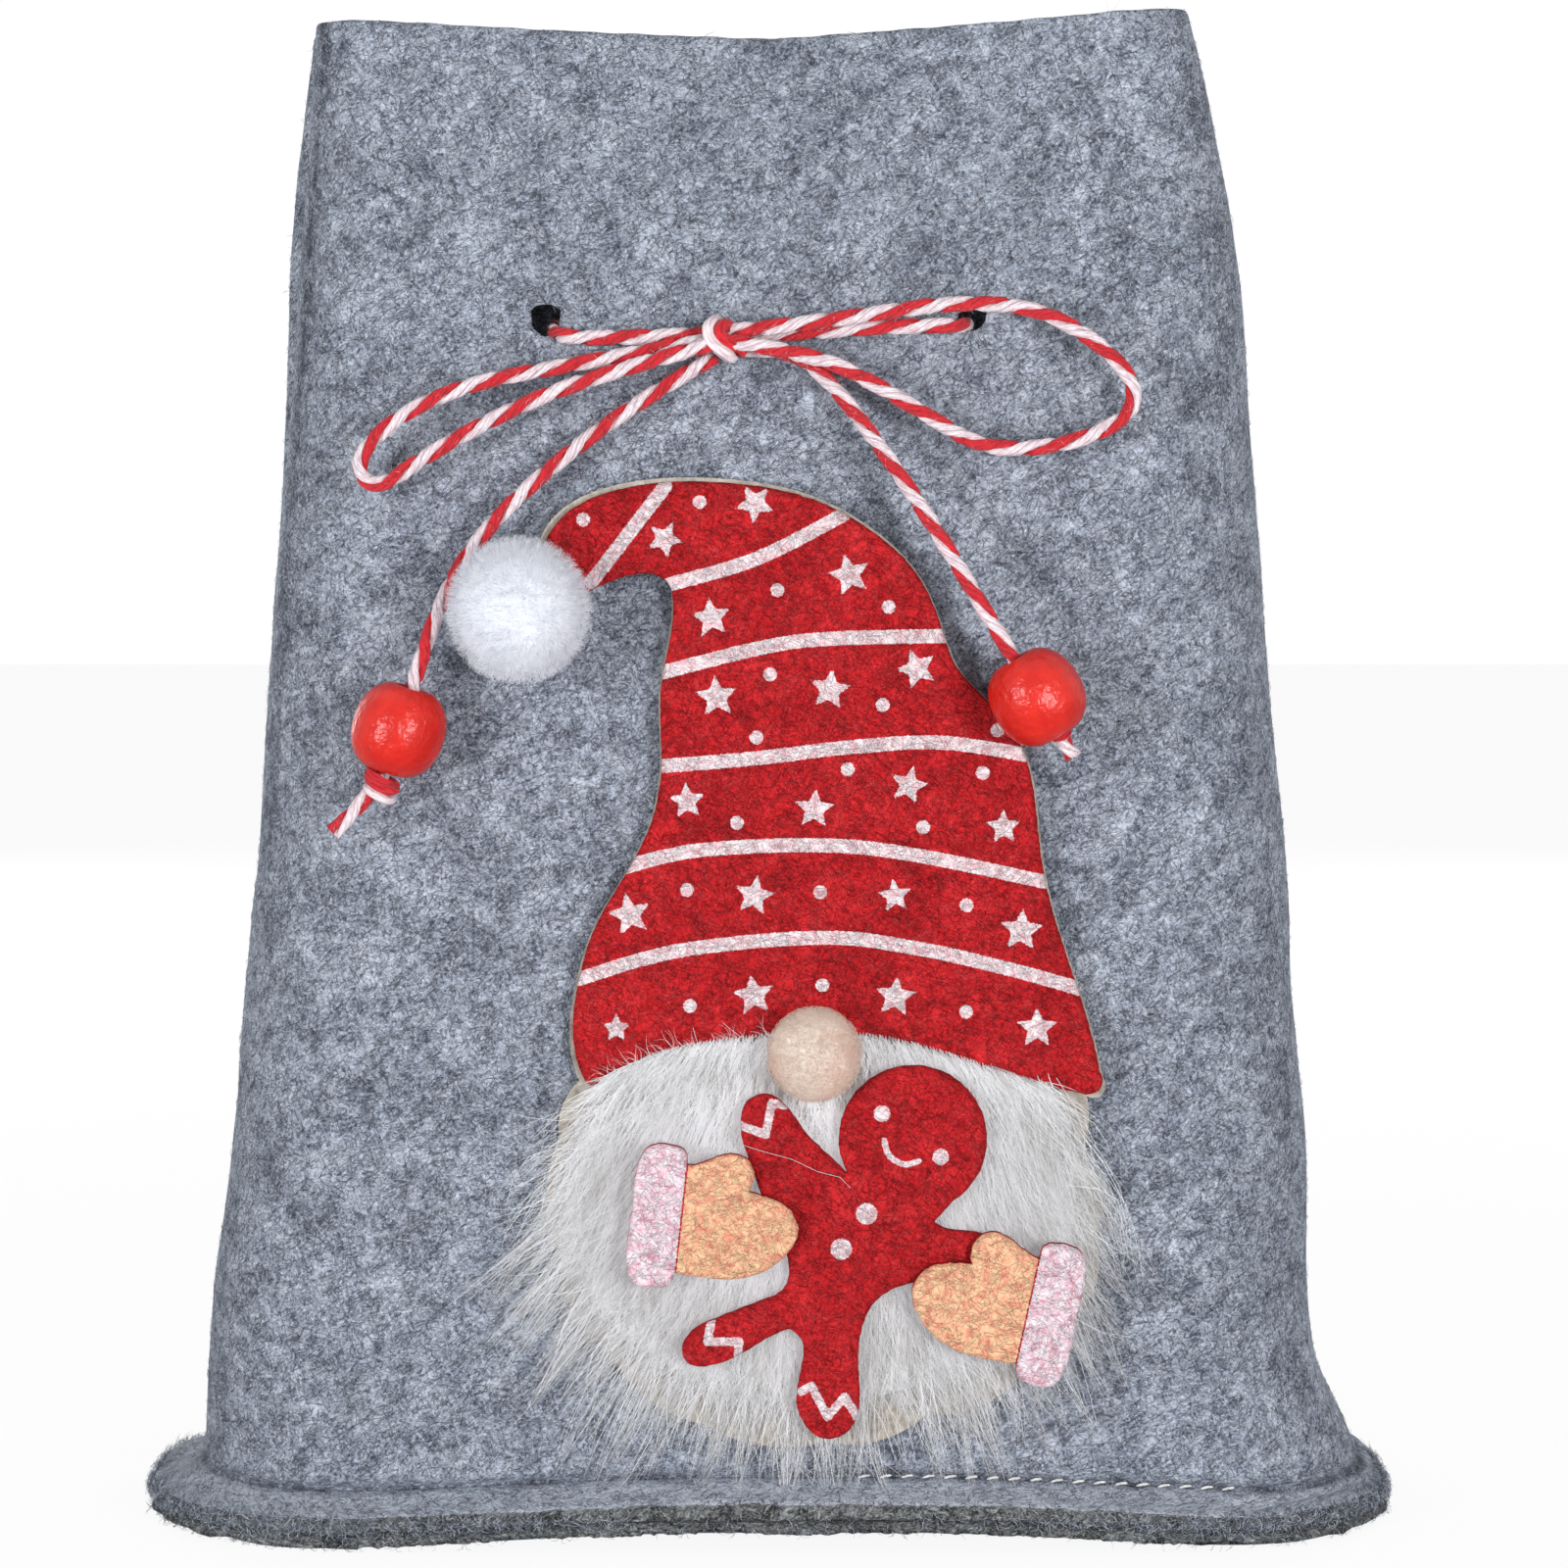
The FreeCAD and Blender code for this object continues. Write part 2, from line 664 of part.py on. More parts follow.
dots = [
    glue_dot("glue_crown", "gnome_x - hat_width * 0.02", "gnome_z + hat_height * 0.75"),
    glue_dot("glue_middle", "gnome_x + hat_width * 0.05", "gnome_z + hat_height * 0.40"),
    glue_dot("glue_brim_left", "gnome_x - hat_width * 0.28", "gnome_z + hat_height * 0.08"),
    glue_dot("glue_brim_right", "gnome_x + hat_width * 0.32", "gnome_z + hat_height * 0.08"),
    glue_dot("glue_beard_left", "gnome_x - beard_width * 0.22", "gnome_z - beard_height * 0.60"),
    glue_dot("glue_beard_right", "gnome_x + beard_width * 0.26", "gnome_z - beard_height * 0.60"),
]
backing_glue = doc.addObject("Part::Compound", "backing_glue")
backing_glue.Links = dots


def ball(name, diameter, x, y, z):
    """A felted or fluffy ball."""
    thing = doc.addObject("Part::Sphere", name)
    bind(thing, Radius=f"{diameter} / 2", Placement__Base__x=x, Placement__Base__y=y, Placement__Base__z=z)
    return thing


nose = ball("nose", "nose_diameter", "gnome_x", f"{HAT_FRONT} + nose_press - nose_diameter / 2", "gnome_z")
pompom = ball(
    "pompom",
    "pompom_diameter",
    "gnome_x - pompom_x",
    f"{WALL_FACE} - play - glue - pompom_diameter / 2",
    "gnome_z + pompom_z",
)


# ---------------------------------------------------------------- tie: twine

def cord_wire(points):
    """Straight runs joined by tangent arcs; prints the radii. The arcs are as large as the runs allow."""
    corners = [V(*p) for p in points]
    edges = []
    radii = []
    start = corners[0]
    for before, corner, after in zip(corners, corners[1:], corners[2:]):
        into, out = corner - before, after - corner
        turn = into.getAngle(out)
        shorter = min(into.Length, out.Length)
        cut = 0.45 * shorter
        radii.append(cut / math.tan(turn / 2))
        a = corner - V(into).normalize() * cut
        b = corner + V(out).normalize() * cut
        bisector = (V(out).normalize() - V(into).normalize()).normalize()
        centre = corner + bisector * (radii[-1] / math.cos(turn / 2))
        middle = centre - bisector * radii[-1]
        edges.append(Part.makeLine(start, a))
        edges.append(Part.Arc(a, middle, b).toShape())
        start = b
    edges.append(Part.makeLine(start, corners[-1]))
    return Part.Wire(edges), radii


def twine(name, points):
    """One stretch of the twine, as a tube along its route."""
    wire, radii = cord_wire(points)
    route = doc.addObject("Part::Feature", f"{name}_route")
    route.Shape = wire
    section = doc.addObject("Part::Circle", f"{name}_section")
    way = V(*points[1]) - V(*points[0])
    section.Placement = FreeCAD.Placement(V(*points[0]), FreeCAD.Rotation(V(0, 0, 1), way))
    bind(section, Radius="twine / 2")
    doc.recompute()
    tube = doc.addObject("Part::Sweep", name)
    tube.Sections = [section]
    tube.Spine = (route, [f"Edge{i + 1}" for i in range(len(wire.Edges))])
    tube.Solid = True
    tube.Frenet = False
    print(name, "length", round(wire.Length, 1), "radii", " ".join(f"{r:.1f}" for r in radii))
    return tube


# the taut stretch: knot, left holes, across the back, right holes, knot
tie_band = twine("tie_band", [
    (-8.2, -29.3, 168.4), (-17.0, -29.2, 168.2), (-26.0, -29.2, 168.6), (-31.0, -28.9, 170.3),
    (-31.2, -18.0, 170.6), (-31.0, 0.0, 170.1), (-31.2, 18.0, 170.6), (-31.0, 28.9, 170.4),
    (-25.2, 29.1, 170.3), (-14.0, 29.2, 170.1), (4.0, 29.3, 169.9), (16.0, 29.2, 170.2),
    (22.3, 29.1, 170.3), (28.0, 28.9, 170.4), (28.2, 18.0, 170.6), (28.0, 0.0, 170.1),
    (28.2, -18.0, 170.6), (28.0, -28.9, 170.4), (22.2, -29.1, 170.1), (12.0, -29.2, 169.2),
    (2.0, -29.2, 168.4), (-5.2, -29.2, 168.2),
])

# the bow's loops lie in front of the taut stretch and droop
bow_loop_left = twine("bow_loop_left", [
    (-8.0, -31.6, 167.5), (-17.5, -31.9, 165.9), (-29.5, -32.6, 163.7), (-41.0, -33.6, 161.6),
    (-50.6, -34.2, 157.4), (-56.3, -34.6, 152.0), (-56.0, -34.7, 148.3), (-53.0, -34.7, 147.4),
    (-48.4, -34.6, 150.8), (-40.5, -34.4, 155.4), (-30.5, -34.3, 160.2), (-18.5, -34.2, 164.0),
    (-8.0, -33.8, 166.9),
])
bow_loop_right = twine("bow_loop_right", [
    (-5.6, -31.6, 168.7), (4.5, -31.9, 169.7), (15.0, -32.2, 171.2), (26.0, -32.8, 172.7),
    (36.5, -33.6, 172.0), (44.5, -34.4, 167.6), (49.8, -34.8, 162.4), (50.0, -35.0, 157.8),
    (45.2, -35.2, 154.6), (37.5, -35.0, 152.6), (29.0, -34.8, 152.7), (21.3, -34.4, 157.4),
    (14.0, -33.9, 161.8), (6.0, -33.5, 165.6), (-5.4, -33.6, 167.3),
])


# ---------------------------------------------------------------- tie: tails with a straight slide

def along(centre, way, distance, aside=0.0):
    """A point on a tail's straight stretch; aside is a shift across it."""
    return (centre[0] + way[0] * distance + way[2] * aside, centre[1], centre[2] + way[2] * distance)


# where each bead hangs, and the way up its cord
LEFT_BEAD = (-50.9, -36.7, 114.1)
LEFT_WAY = (0.31, 0.0, 0.9507)
RIGHT_BEAD = (36.5, -41.0, 118.8)
RIGHT_WAY = (-0.518, 0.0, 0.8554)
HAIR = 0.06                     # a tail is never quite straight

tail_left = twine("tail_left", [
    (-7.4, -30.4, 165.4), (-12.4, -30.6, 162.4), (-20.0, -31.6, 157.7), (-30.0, -33.9, 150.2),
    (-38.6, -36.2, 142.0), along(LEFT_BEAD, LEFT_WAY, 20.0), along(LEFT_BEAD, LEFT_WAY, 1.0, HAIR),
    along(LEFT_BEAD, LEFT_WAY, -8.6), (-60.0, -37.6, 100.0),
])
tail_right = twine("tail_right", [
    (-5.4, -31.0, 166.2), (2.4, -30.9, 166.7), (8.2, -31.4, 162.1), (14.8, -36.4, 153.4),
    along(RIGHT_BEAD, RIGHT_WAY, 28.0), along(RIGHT_BEAD, RIGHT_WAY, 13.0, HAIR),
    along(RIGHT_BEAD, RIGHT_WAY, 0.0), along(RIGHT_BEAD, RIGHT_WAY, -9.6, HAIR),
])


# ---------------------------------------------------------------- tie: knots

def ring(name, diameter, centre, axis):
    """One turn of twine; diameter is an expression for the outside of the turn."""
    turn = doc.addObject("Part::Torus", name)
    turn.Placement = FreeCAD.Placement(V(*centre), FreeCAD.Rotation(V(0, 0, 1), V(*axis)))
    bind(turn, Radius1=f"({diameter} - twine) / 2", Radius2="twine / 2")
    return turn


# two turns over a core where eight strands meet
KNOT = (-6.7, -31.5, 167.9)
knot_core = doc.addObject("Part::Ellipsoid", "knot_core")
knot_core.Placement = FreeCAD.Placement(V(*KNOT), FreeCAD.Rotation())
bind(
    knot_core,
    Radius1="knot_height / 2 - twine / 4",
    Radius2="knot_height / 2 + play",
    Radius3="knot_height / 2 - twine / 4",
)
turns = []
for i, dx in enumerate((-2.0, 0.1)):
    turns.append(ring(f"knot_turn_{i}", "knot_height", (KNOT[0] + dx, KNOT[1], KNOT[2]), (1, 0, 0.05)))
bow_knot = fused("bow_knot", [knot_core] + turns)

# the left stopper shows two turns under the bead; the right one sits in the mouth of its bead
stopper_knot_left = fused("stopper_knot_left", [
    ring("stopper_turn_0", "stopper_left", along(LEFT_BEAD, LEFT_WAY, -6.85), LEFT_WAY),
    ring("stopper_turn_1", "stopper_left", along(LEFT_BEAD, LEFT_WAY, -8.75), LEFT_WAY),
])
stopper_knot_right = ring("stopper_knot_right", "stopper_right", along(RIGHT_BEAD, RIGHT_WAY, -6.6), RIGHT_WAY)


# ---------------------------------------------------------------- beads

def bead(name, centre, way):
    """A turned wooden bead, a little barrel-shaped, with a drilled bore and eased mouths."""
    body = doc.addObject("PartDesign::Body", name)
    sketch = body.newObject("Sketcher::SketchObject", f"{name}_profile")
    sketch.AttachmentSupport = [(origin_plane(body, "XZ_Plane"), "")]
    sketch.MapMode = "FlatFace"
    bore, flat = size("bead_bore / 2"), size("bead_flat / 2")
    half, radius = size("bead_length / 2"), size("bead_diameter / 2")
    shoulder = V(flat + 0.66 * (radius - flat), 0.71 * half, 0)
    belly = Part.BSplineCurve()
    belly.interpolate([
        V(flat, -half, 0), V(shoulder.x, -shoulder.y, 0), V(radius, 0, 0), shoulder, V(flat, half, 0),
    ])
    for edge in (
        Part.LineSegment(V(bore, -half, 0), V(flat, -half, 0)),
        belly,
        Part.LineSegment(V(flat, half, 0), V(bore, half, 0)),
        Part.LineSegment(V(bore, half, 0), V(bore, -half, 0)),
    ):
        index = sketch.addGeometry(edge, False)
        sketch.addConstraint(Sketcher.Constraint("Block", index))
    turned = body.newObject("PartDesign::Revolution", f"{name}_turned")
    turned.Profile = sketch
    turned.ReferenceAxis = (sketch, ["V_Axis"])
    doc.recompute()
    mouths = []
    for i, edge in enumerate(turned.Shape.Edges, start=1):
        if hasattr(edge.Curve, "Radius") and abs(edge.Curve.Radius - bore) < TOL and edge.isClosed():
            mouths.append(f"Edge{i}")
    eased = body.newObject("PartDesign::Chamfer", f"{name}_eased")
    eased.Base = (turned, mouths)
    bind(eased, Size="bead_chamfer")
    body.Tip = eased
    body.Placement = FreeCAD.Placement(V(*centre), FreeCAD.Rotation(V(0, 0, 1), V(*way)))
    return body


bead_left = bead("bead_left", LEFT_BEAD, LEFT_WAY)
bead_right = bead("bead_right", RIGHT_BEAD, RIGHT_WAY)


# ---------------------------------------------------------------- one STEP file for each piece

NODES = [
    front_panel, back_panel, base_panel,
    backing_glue, gnome_board, beard, hat, nose, pompom, gingerbread_man, mitten_left, mitten_right,
    tie_band, bow_knot, bow_loop_left, bow_loop_right, tail_left, tail_right,
    stopper_knot_left, stopper_knot_right, bead_left, bead_right,
]
doc.recompute()
for thing in doc.Objects:
    if "Invalid" in thing.State or "Error" in thing.State:
        raise RuntimeError(f"{thing.Name} did not build: {thing.State}")
for node in NODES:
    node.Label = node.Name
    if node.Shape.isNull() or not node.Shape.isValid() or not node.Shape.Solids:
        raise RuntimeError(f"{node.Name} has no valid solid")
    node.Shape.exportStep(f"parts/{node.Name}.step")
    print(f"{node.Name}: {len(node.Shape.Solids)} solid(s), {node.Shape.Volume:.0f} mm3")
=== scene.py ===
import math

import bmesh
import bpy
import numpy as np
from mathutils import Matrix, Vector, geometry, noise


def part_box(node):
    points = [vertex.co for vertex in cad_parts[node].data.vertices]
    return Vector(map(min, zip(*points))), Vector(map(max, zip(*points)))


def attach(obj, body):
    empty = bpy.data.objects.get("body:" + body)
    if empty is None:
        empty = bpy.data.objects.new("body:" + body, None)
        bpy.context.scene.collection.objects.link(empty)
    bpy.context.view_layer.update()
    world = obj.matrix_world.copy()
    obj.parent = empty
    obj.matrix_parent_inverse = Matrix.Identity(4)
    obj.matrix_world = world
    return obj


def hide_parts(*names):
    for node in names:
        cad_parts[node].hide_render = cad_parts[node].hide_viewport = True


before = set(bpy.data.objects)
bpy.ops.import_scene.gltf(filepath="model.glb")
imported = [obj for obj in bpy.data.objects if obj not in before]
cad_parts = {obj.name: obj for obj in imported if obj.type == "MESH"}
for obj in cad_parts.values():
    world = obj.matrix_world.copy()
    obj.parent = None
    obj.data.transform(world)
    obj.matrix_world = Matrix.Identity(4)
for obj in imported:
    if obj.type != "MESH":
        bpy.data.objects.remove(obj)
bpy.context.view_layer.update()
MM = 0.001


# ---------------------------------------------------------------- camera, light and table
# The bag stands on a white table in a white sweep. The camera is level with the gnome's hat, an arm's
# length away. Two soft boxes left and right of it light the front evenly, two light the back, and a
# weak one hangs above.

camera_data = bpy.data.cameras.new("camera")
camera_data.lens = 111.1
camera_data.sensor_width = 36
camera = bpy.data.objects.new("camera", camera_data)
camera.location = (0.002, -0.7, 0.15)
DOWNWARD = 3.74
camera.rotation_euler = (math.radians(90 - DOWNWARD), 0, 0)
bpy.context.collection.objects.link(camera)
bpy.context.scene.camera = camera
bpy.context.scene.view_settings.view_transform = "Standard"


class Link:
    """A socket in a material's node tree. Arithmetic on it adds Math nodes."""

    def __init__(self, tree, socket=None):
        self.tree = tree
        self.socket = socket

    def node(self, kind, settings=None, feeds=None, output=0):
        """Adds a node: its settings first (stops are a ramp's places and colours), then its sockets."""
        made = self.tree.nodes.new(kind)
        for name, setting in (settings or {}).items():
            if name == "stops":
                ramp = made.color_ramp.elements
                while len(ramp) < len(setting):
                    ramp.new(0.5)
                for element, (place, colour) in zip(ramp, setting):
                    element.position = place
                    element.color = colour
            else:
                setattr(made, name, setting)
        for socket, feed in (feeds or {}).items():
            if isinstance(feed, Link):
                self.tree.links.new(feed.socket, made.inputs[socket])
            else:
                made.inputs[socket].default_value = feed
        return Link(self.tree, made.outputs[output])

    def maths(self, operation, *values, clamp=False):
        feeds = dict(enumerate(values))
        return self.node("ShaderNodeMath", {"operation": operation, "use_clamp": clamp}, feeds)

    def __add__(self, other):
        return self.maths("ADD", self, other)

    __radd__ = __add__

    def __sub__(self, other):
        return self.maths("SUBTRACT", self, other)

    def __rsub__(self, other):
        return self.maths("SUBTRACT", other, self)

    def __mul__(self, other):
        return self.maths("MULTIPLY", self, other)

    __rmul__ = __mul__

    def between(self, low, high):
        """0 below low, 1 above high, and a soft step from one to the other."""
        feeds = {"Value": self, "From Min": low, "From Max": high}
        return self.node("ShaderNodeMapRange", {"interpolation_type": "SMOOTHSTEP"}, feeds)

    def mix(self, first, second):
        """Blends two colours, with this value as the share of the second."""
        feeds = {"Factor": self, 6: first, 7: second}
        return self.node("ShaderNodeMix", {"data_type": "RGBA"}, feeds, output=2)

    def ramp(self, stops):
        """A colour for this value, from stops of a place and a colour each."""
        return self.node("ShaderNodeValToRGB", {"stops": stops}, {"Fac": self})

    def noise(self, scale, detail=3.0, roughness=0.5, distortion=0.0):
        """Cloudy noise between 0 and 1, read at this place."""
        feeds = {"Vector": self, "Scale": scale, "Detail": detail, "Roughness": roughness}
        return self.node("ShaderNodeTexNoise", None, {**feeds, "Distortion": distortion})

    def on_object(self):
        return self.node("ShaderNodeTexCoord", output=3)

    def on_map(self, name):
        return self.node("ShaderNodeUVMap", {"uv_map": name})

    def value(self, name):
        """The value that the mesh gives its points under a name."""
        return self.node("ShaderNodeAttribute", {"attribute_name": name}, output=2)


def rgb(red, green, blue):
    """A colour written in a screen's steps, 0 to 255, as the linear values that Blender takes."""
    linear = []
    for step in (red, green, blue):
        share = step / 255
        linear.append(share / 12.92 if share <= 0.04045 else ((share + 0.055) / 1.055) ** 2.4)
    return (*linear, 1.0)


def new_finish(name, roughness=0.9, specular=0.3):
    """A material with one Principled shader, and a Link to build on."""
    material = bpy.data.materials.new(name)
    material.use_nodes = True
    shader = material.node_tree.nodes["Principled BSDF"]
    shader.inputs["Roughness"].default_value = roughness
    shader.inputs["Specular IOR Level"].default_value = specular
    return material, shader, Link(material.node_tree)


def feed(shader, socket, link):
    link.tree.links.new(link.socket, shader.inputs[socket])


def raise_relief(shader, height, distance, strength=1.0):
    """A bump from a height between 0 and 1; distance is the relief in metres."""
    feeds = {"Height": height, "Distance": distance, "Strength": strength}
    feed(shader, "Normal", height.node("ShaderNodeBump", None, feeds))


def soft_box(name, place, width, height, power):
    """A rectangular lamp that looks at the middle of the bag."""
    data = bpy.data.lights.new(name, "AREA")
    data.shape = "RECTANGLE"
    data.size = width
    data.size_y = height
    data.energy = power
    lamp = bpy.data.objects.new(name, data)
    lamp.location = place
    lamp.rotation_euler = (Vector((0, 0, 0.1)) - Vector(place)).to_track_quat("-Z", "Y").to_euler()
    bpy.context.collection.objects.link(lamp)


soft_box("left_box", (-0.72, -0.90, 0.16), 0.30, 0.3, 6.2)
soft_box("right_box", (0.52, -1.02, 0.16), 0.26, 0.3, 6.9)
soft_box("back_left_box", (-0.60, 1.00, 0.24), 0.30, 0.4, 4.4)
soft_box("back_right_box", (0.60, 1.00, 0.24), 0.30, 0.4, 4.4)
soft_box("top_box", (0.0, -0.30, 1.1), 0.9, 0.7, 0.4)

world = bpy.data.worlds.new("white_sweep")
world.use_nodes = True
bpy.context.scene.world = world
sky = Link(world.node_tree)
background = world.node_tree.nodes["Background"]
rays = sky.node("ShaderNodeLightPath")
seen = sky.maths("MAXIMUM", rays, sky.node("ShaderNodeLightPath", output=3))
background.inputs["Color"].default_value = (1, 1, 1, 1)
# the sweep lights the bag weakly, and is white only where it is looked at or mirrored
SWEEP_LIGHT, SWEEP_WHITE = 0.26, 0.76
world.node_tree.links.new((SWEEP_LIGHT + seen * SWEEP_WHITE).socket, background.inputs["Strength"])

bpy.ops.object.select_all(action="DESELECT")
bpy.ops.mesh.primitive_plane_add(size=1, location=(0, 0, 0))
bpy.ops.object.mode_set(mode="EDIT")
bpy.ops.transform.resize(value=(6, 6, 1))
bpy.ops.mesh.subdivide(number_cuts=2)
bpy.ops.object.mode_set(mode="OBJECT")
table = bpy.context.object
table.name = "white_table"
white_table, table_shader, table_link = new_finish("white_table", roughness=0.8, specular=0.2)
table_shader.inputs["Base Color"].default_value = (0.86, 0.86, 0.86, 1)
glow = table_link.node("ShaderNodeEmission", None, {"Color": (1, 1, 1, 1), "Strength": 1.06})
looked_at = table_link.node("ShaderNodeLightPath")
lit = Link(white_table.node_tree, table_shader.outputs[0])
# where it is looked at, the table is mostly white of its own, and the rest shows the bag's shadow
OWN_WHITE = 0.86
table_mix = table_link.node("ShaderNodeMixShader", None, {0: looked_at * OWN_WHITE, 1: lit, 2: glow})
table_output = white_table.node_tree.nodes["Material Output"]
white_table.node_tree.links.new(table_mix.socket, table_output.inputs["Surface"])
table.data.materials.append(white_table)


# ---------------------------------------------------------------- bag: front and back panel
# Two panels of 2 mm needle felt, pressed from grey and white fibres. They are sewn down the sides
# with the allowances inside, their feet turn out into a hem, and the tie draws the mouth in.

FELT = 2.0
HEM = 8.0
ALLOWANCE = 6.0
CREASE = 7.15
foot_low, foot_high = [np.array(corner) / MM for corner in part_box("front_panel")]
# half width, half depth, corner, pinch of the middle and lean of the section at four heights
WALL_FOOT = np.array((foot_high[0] - HEM, -foot_low[1] - HEM, 24.0, 0.0, 0.0))
SHOULDER, AT_SHOULDER = 150.0, np.array((69.0, 30.0, 22.0, 0.0, 0.0))
TIE, AT_TIE = 170.5, np.array((67.25, 27.5, 18.0, 0.0, 0.0))
MOUTH, AT_MOUTH = 216.0, np.array((60.5, 25.0, 9.0, 11.0, -2.5))
# the rim's height in the middle, and how much it rises to the left and to the right
RIM, RISE_LEFT, RISE_RIGHT = 210.0, 2.0, 4.0
# a panel's columns on half its face, round its corner, along its side and round its lip at the seam
FACE_COLUMNS, CORNER_COLUMNS, SIDE_COLUMNS, LIP_COLUMNS = 90, 18, 9, 4
LIP = 1.1


def wall_sizes(height):
    """The sizes of the wall's section at a height: ruled up to the shoulder, one curve above it."""
    low = WALL_FOOT + (AT_SHOULDER - WALL_FOOT) * (height - CREASE) / (SHOULDER - CREASE)
    if height <= SHOULDER:
        return low
    to_tie, to_mouth = (height - SHOULDER) / (TIE - SHOULDER), (height - TIE) / (MOUTH - TIE)
    straight = AT_SHOULDER + (AT_TIE - AT_SHOULDER) * to_tie
    bend = (AT_MOUTH - AT_TIE) / (MOUTH - TIE) - (AT_TIE - AT_SHOULDER) / (TIE - SHOULDER)
    return straight + bend * to_mouth * (MOUTH - TIE) * (height - SHOULDER) / (MOUTH - SHOULDER)


def plan_columns():
    """Where the columns of a panel stand on a section: side of it, stretch, and share of the stretch."""
    right = []
    for stretch, count in (("front", FACE_COLUMNS), ("corner", CORNER_COLUMNS), ("side", SIDE_COLUMNS)):
        right += [(stretch, share) for share in np.linspace(0, 1, count)[:-1]]
    right += [("lip", share) for share in np.linspace(0, 1, LIP_COLUMNS)]
    left = [(-1, stretch, share) for stretch, share in right[:0:-1]]
    return left + [(1, stretch, share) for stretch, share in right]


def plan_place(column, sizes):
    """A point of the front panel's section, in the plan."""
    side, stretch, share = column
    half_width, half_depth, corner, pinch, lean = sizes
    cx, cy = half_width - corner, half_depth - corner
    pinch = max(pinch, 0.05)
    reach = (cx * cx + pinch * pinch) / (2 * pinch)
    bow = reach - corner
    touch = math.asin(cx / reach)
    if stretch == "front":
        x, y = bow * math.sin(touch * share), half_depth - pinch + bow * (1 - math.cos(touch * share))
    elif stretch == "corner":
        angle = (math.pi / 2 + touch) * (1 - share)
        x, y = cx + corner * math.cos(angle), cy + corner * math.sin(angle)
    elif stretch == "side":
        x, y = half_width, cy * (1 - share) + LIP * share
    else:
        x, y = half_width - LIP * (1 - math.sqrt(1 - share * share)), LIP * (1 - share) + 0.08 * share
    return side * x + lean, -y


def rim_height(x):
    """The mouth was cut by hand: lowest in the middle and highest on the right."""
    slope = (-RISE_LEFT if x < 0 else RISE_RIGHT) * x / AT_MOUTH[0]
    return RIM + slope + 0.08 * math.sin(0.9 * x) * math.sin(0.23 * x)


def soft_step(value, low, high):
    share = min(max((value - low) / (high - low), 0.0), 1.0)
    return share * share * (3 - 2 * share)


def wander(*place):
    """Smooth noise between -1 and 1."""
    return noise.noise(Vector((place + (0.0, 0.0))[:3]))


# the hem's profile, as steps out from the wall and heights: its top, its cut edge and its underside
HEM_TOP = [
    (0.0, 10.4), (0.05, 8.9), (-0.1, 7.9), (-0.25, 7.2), (0.4, 6.9), (1.3, 6.75),
    (2.4, 6.4), (3.6, 5.9), (4.8, 5.4), (6.0, 4.95), (7.0, 4.55), (7.7, 4.25),
]
HEM_EDGE = [(8.05, 3.95), (8.25, 3.45), (8.2, 2.8), (8.05, 2.15)]
HEM_UNDER = [
    (7.2, 2.3), (5.5, 2.95), (3.5, 3.65), (1.5, 4.3),
    (-0.5, 4.95), (-1.8, 5.6), (-2.0, 7.0), (-2.0, 9.0),
]
WALL_START = 12.0
WALL_ROWS = 96
RIM_ROWS = 2
RIM_ROUND = 0.0028
# how far, in millimetres, the foot sags, is drawn in at the crease, flares, and swells or hollows above it
PUFF, CREASE_DIP, FLARE, LEFT_SWELL, RIGHT_HOLLOW = 2.3, 1.3, 4.2, 1.3, 1.2
FRONT_LIFT, BACK_LIFT = 2.1, 0.7
BROAD_WAVE, FINE_WAVE = 0.7, 0.16
LEFT_LEAN = 2.8
# the column whose length the felt's map follows
MAP_COLUMN = 40


def soft_foot(x, z, front):
    """How the foot of the wall sags out over the crease on the left and flares on the right."""
    leftwards = soft_step(-x, -12, 22)
    puff = PUFF * soft_step(z, 5.5, 9.0) * (1 - soft_step(z, 12, 28)) * leftwards
    crease = -CREASE_DIP * math.exp(-(((z - 7.1) / 0.6) ** 2)) * leftwards
    on_left, on_right = soft_step(-x, 60, 76), soft_step(x, 60, 76)
    sag = (puff + crease if front else 0.5 * puff) * (1 - 0.8 * on_left)
    flare = FLARE * (1 - soft_step(z, 6.8, 23)) * soft_step(x, 58, 74) * soft_step(z, 5.0, 6.6)
    swell = math.exp(-(((z - 32) / 15) ** 2)) * (LEFT_SWELL * on_left - RIGHT_HOLLOW * on_right)
    return sag + flare + swell


def hem_lift(x, y):
    """The hem stands off the table in the middle of its front, and a little in the middle of its back."""
    middle = 1 - soft_step(abs(x - 6.0), 12, 72)
    return middle * (FRONT_LIFT if y < 0 else BACK_LIFT) * soft_step(abs(y), 20, 32)


def panel_rows():
    """The rows of a panel, from the rim down the outside, round the hem and up the inside."""
    down = [("wall", 0.0, 1 - i / WALL_ROWS) for i in range(WALL_ROWS)]
    down[0] = ("wall", 0.0, 1 - RIM_ROUND)
    rim = [(0.5, 1.0), (0.16, 1 - 0.25 * RIM_ROUND)]
    rows = [("wall", -inward, level) for inward, level in rim] + down
    rows += [("hem", out, z) for out, z in HEM_TOP + HEM_EDGE + HEM_UNDER]
    rows += [("wall", -FELT, level) for _, _, level in down[::-1]]
    return rows + [("wall", inward - FELT, level) for inward, level in rim[::-1]]


def run_along(line):
    """How far along a line of points each of them lies."""
    return np.concatenate([[0], np.cumsum(np.linalg.norm(np.diff(line, axis=0), axis=1))])


def unit(ways, spare=0.0):
    return ways / (np.linalg.norm(ways, axis=-1, keepdims=True) + spare)


def smooth_mesh(name, places, faces):
    mesh = bpy.data.meshes.new(name)
    mesh.from_pydata(places, [], faces)
    mesh.polygons.foreach_set("use_smooth", [True] * len(faces))
    return mesh


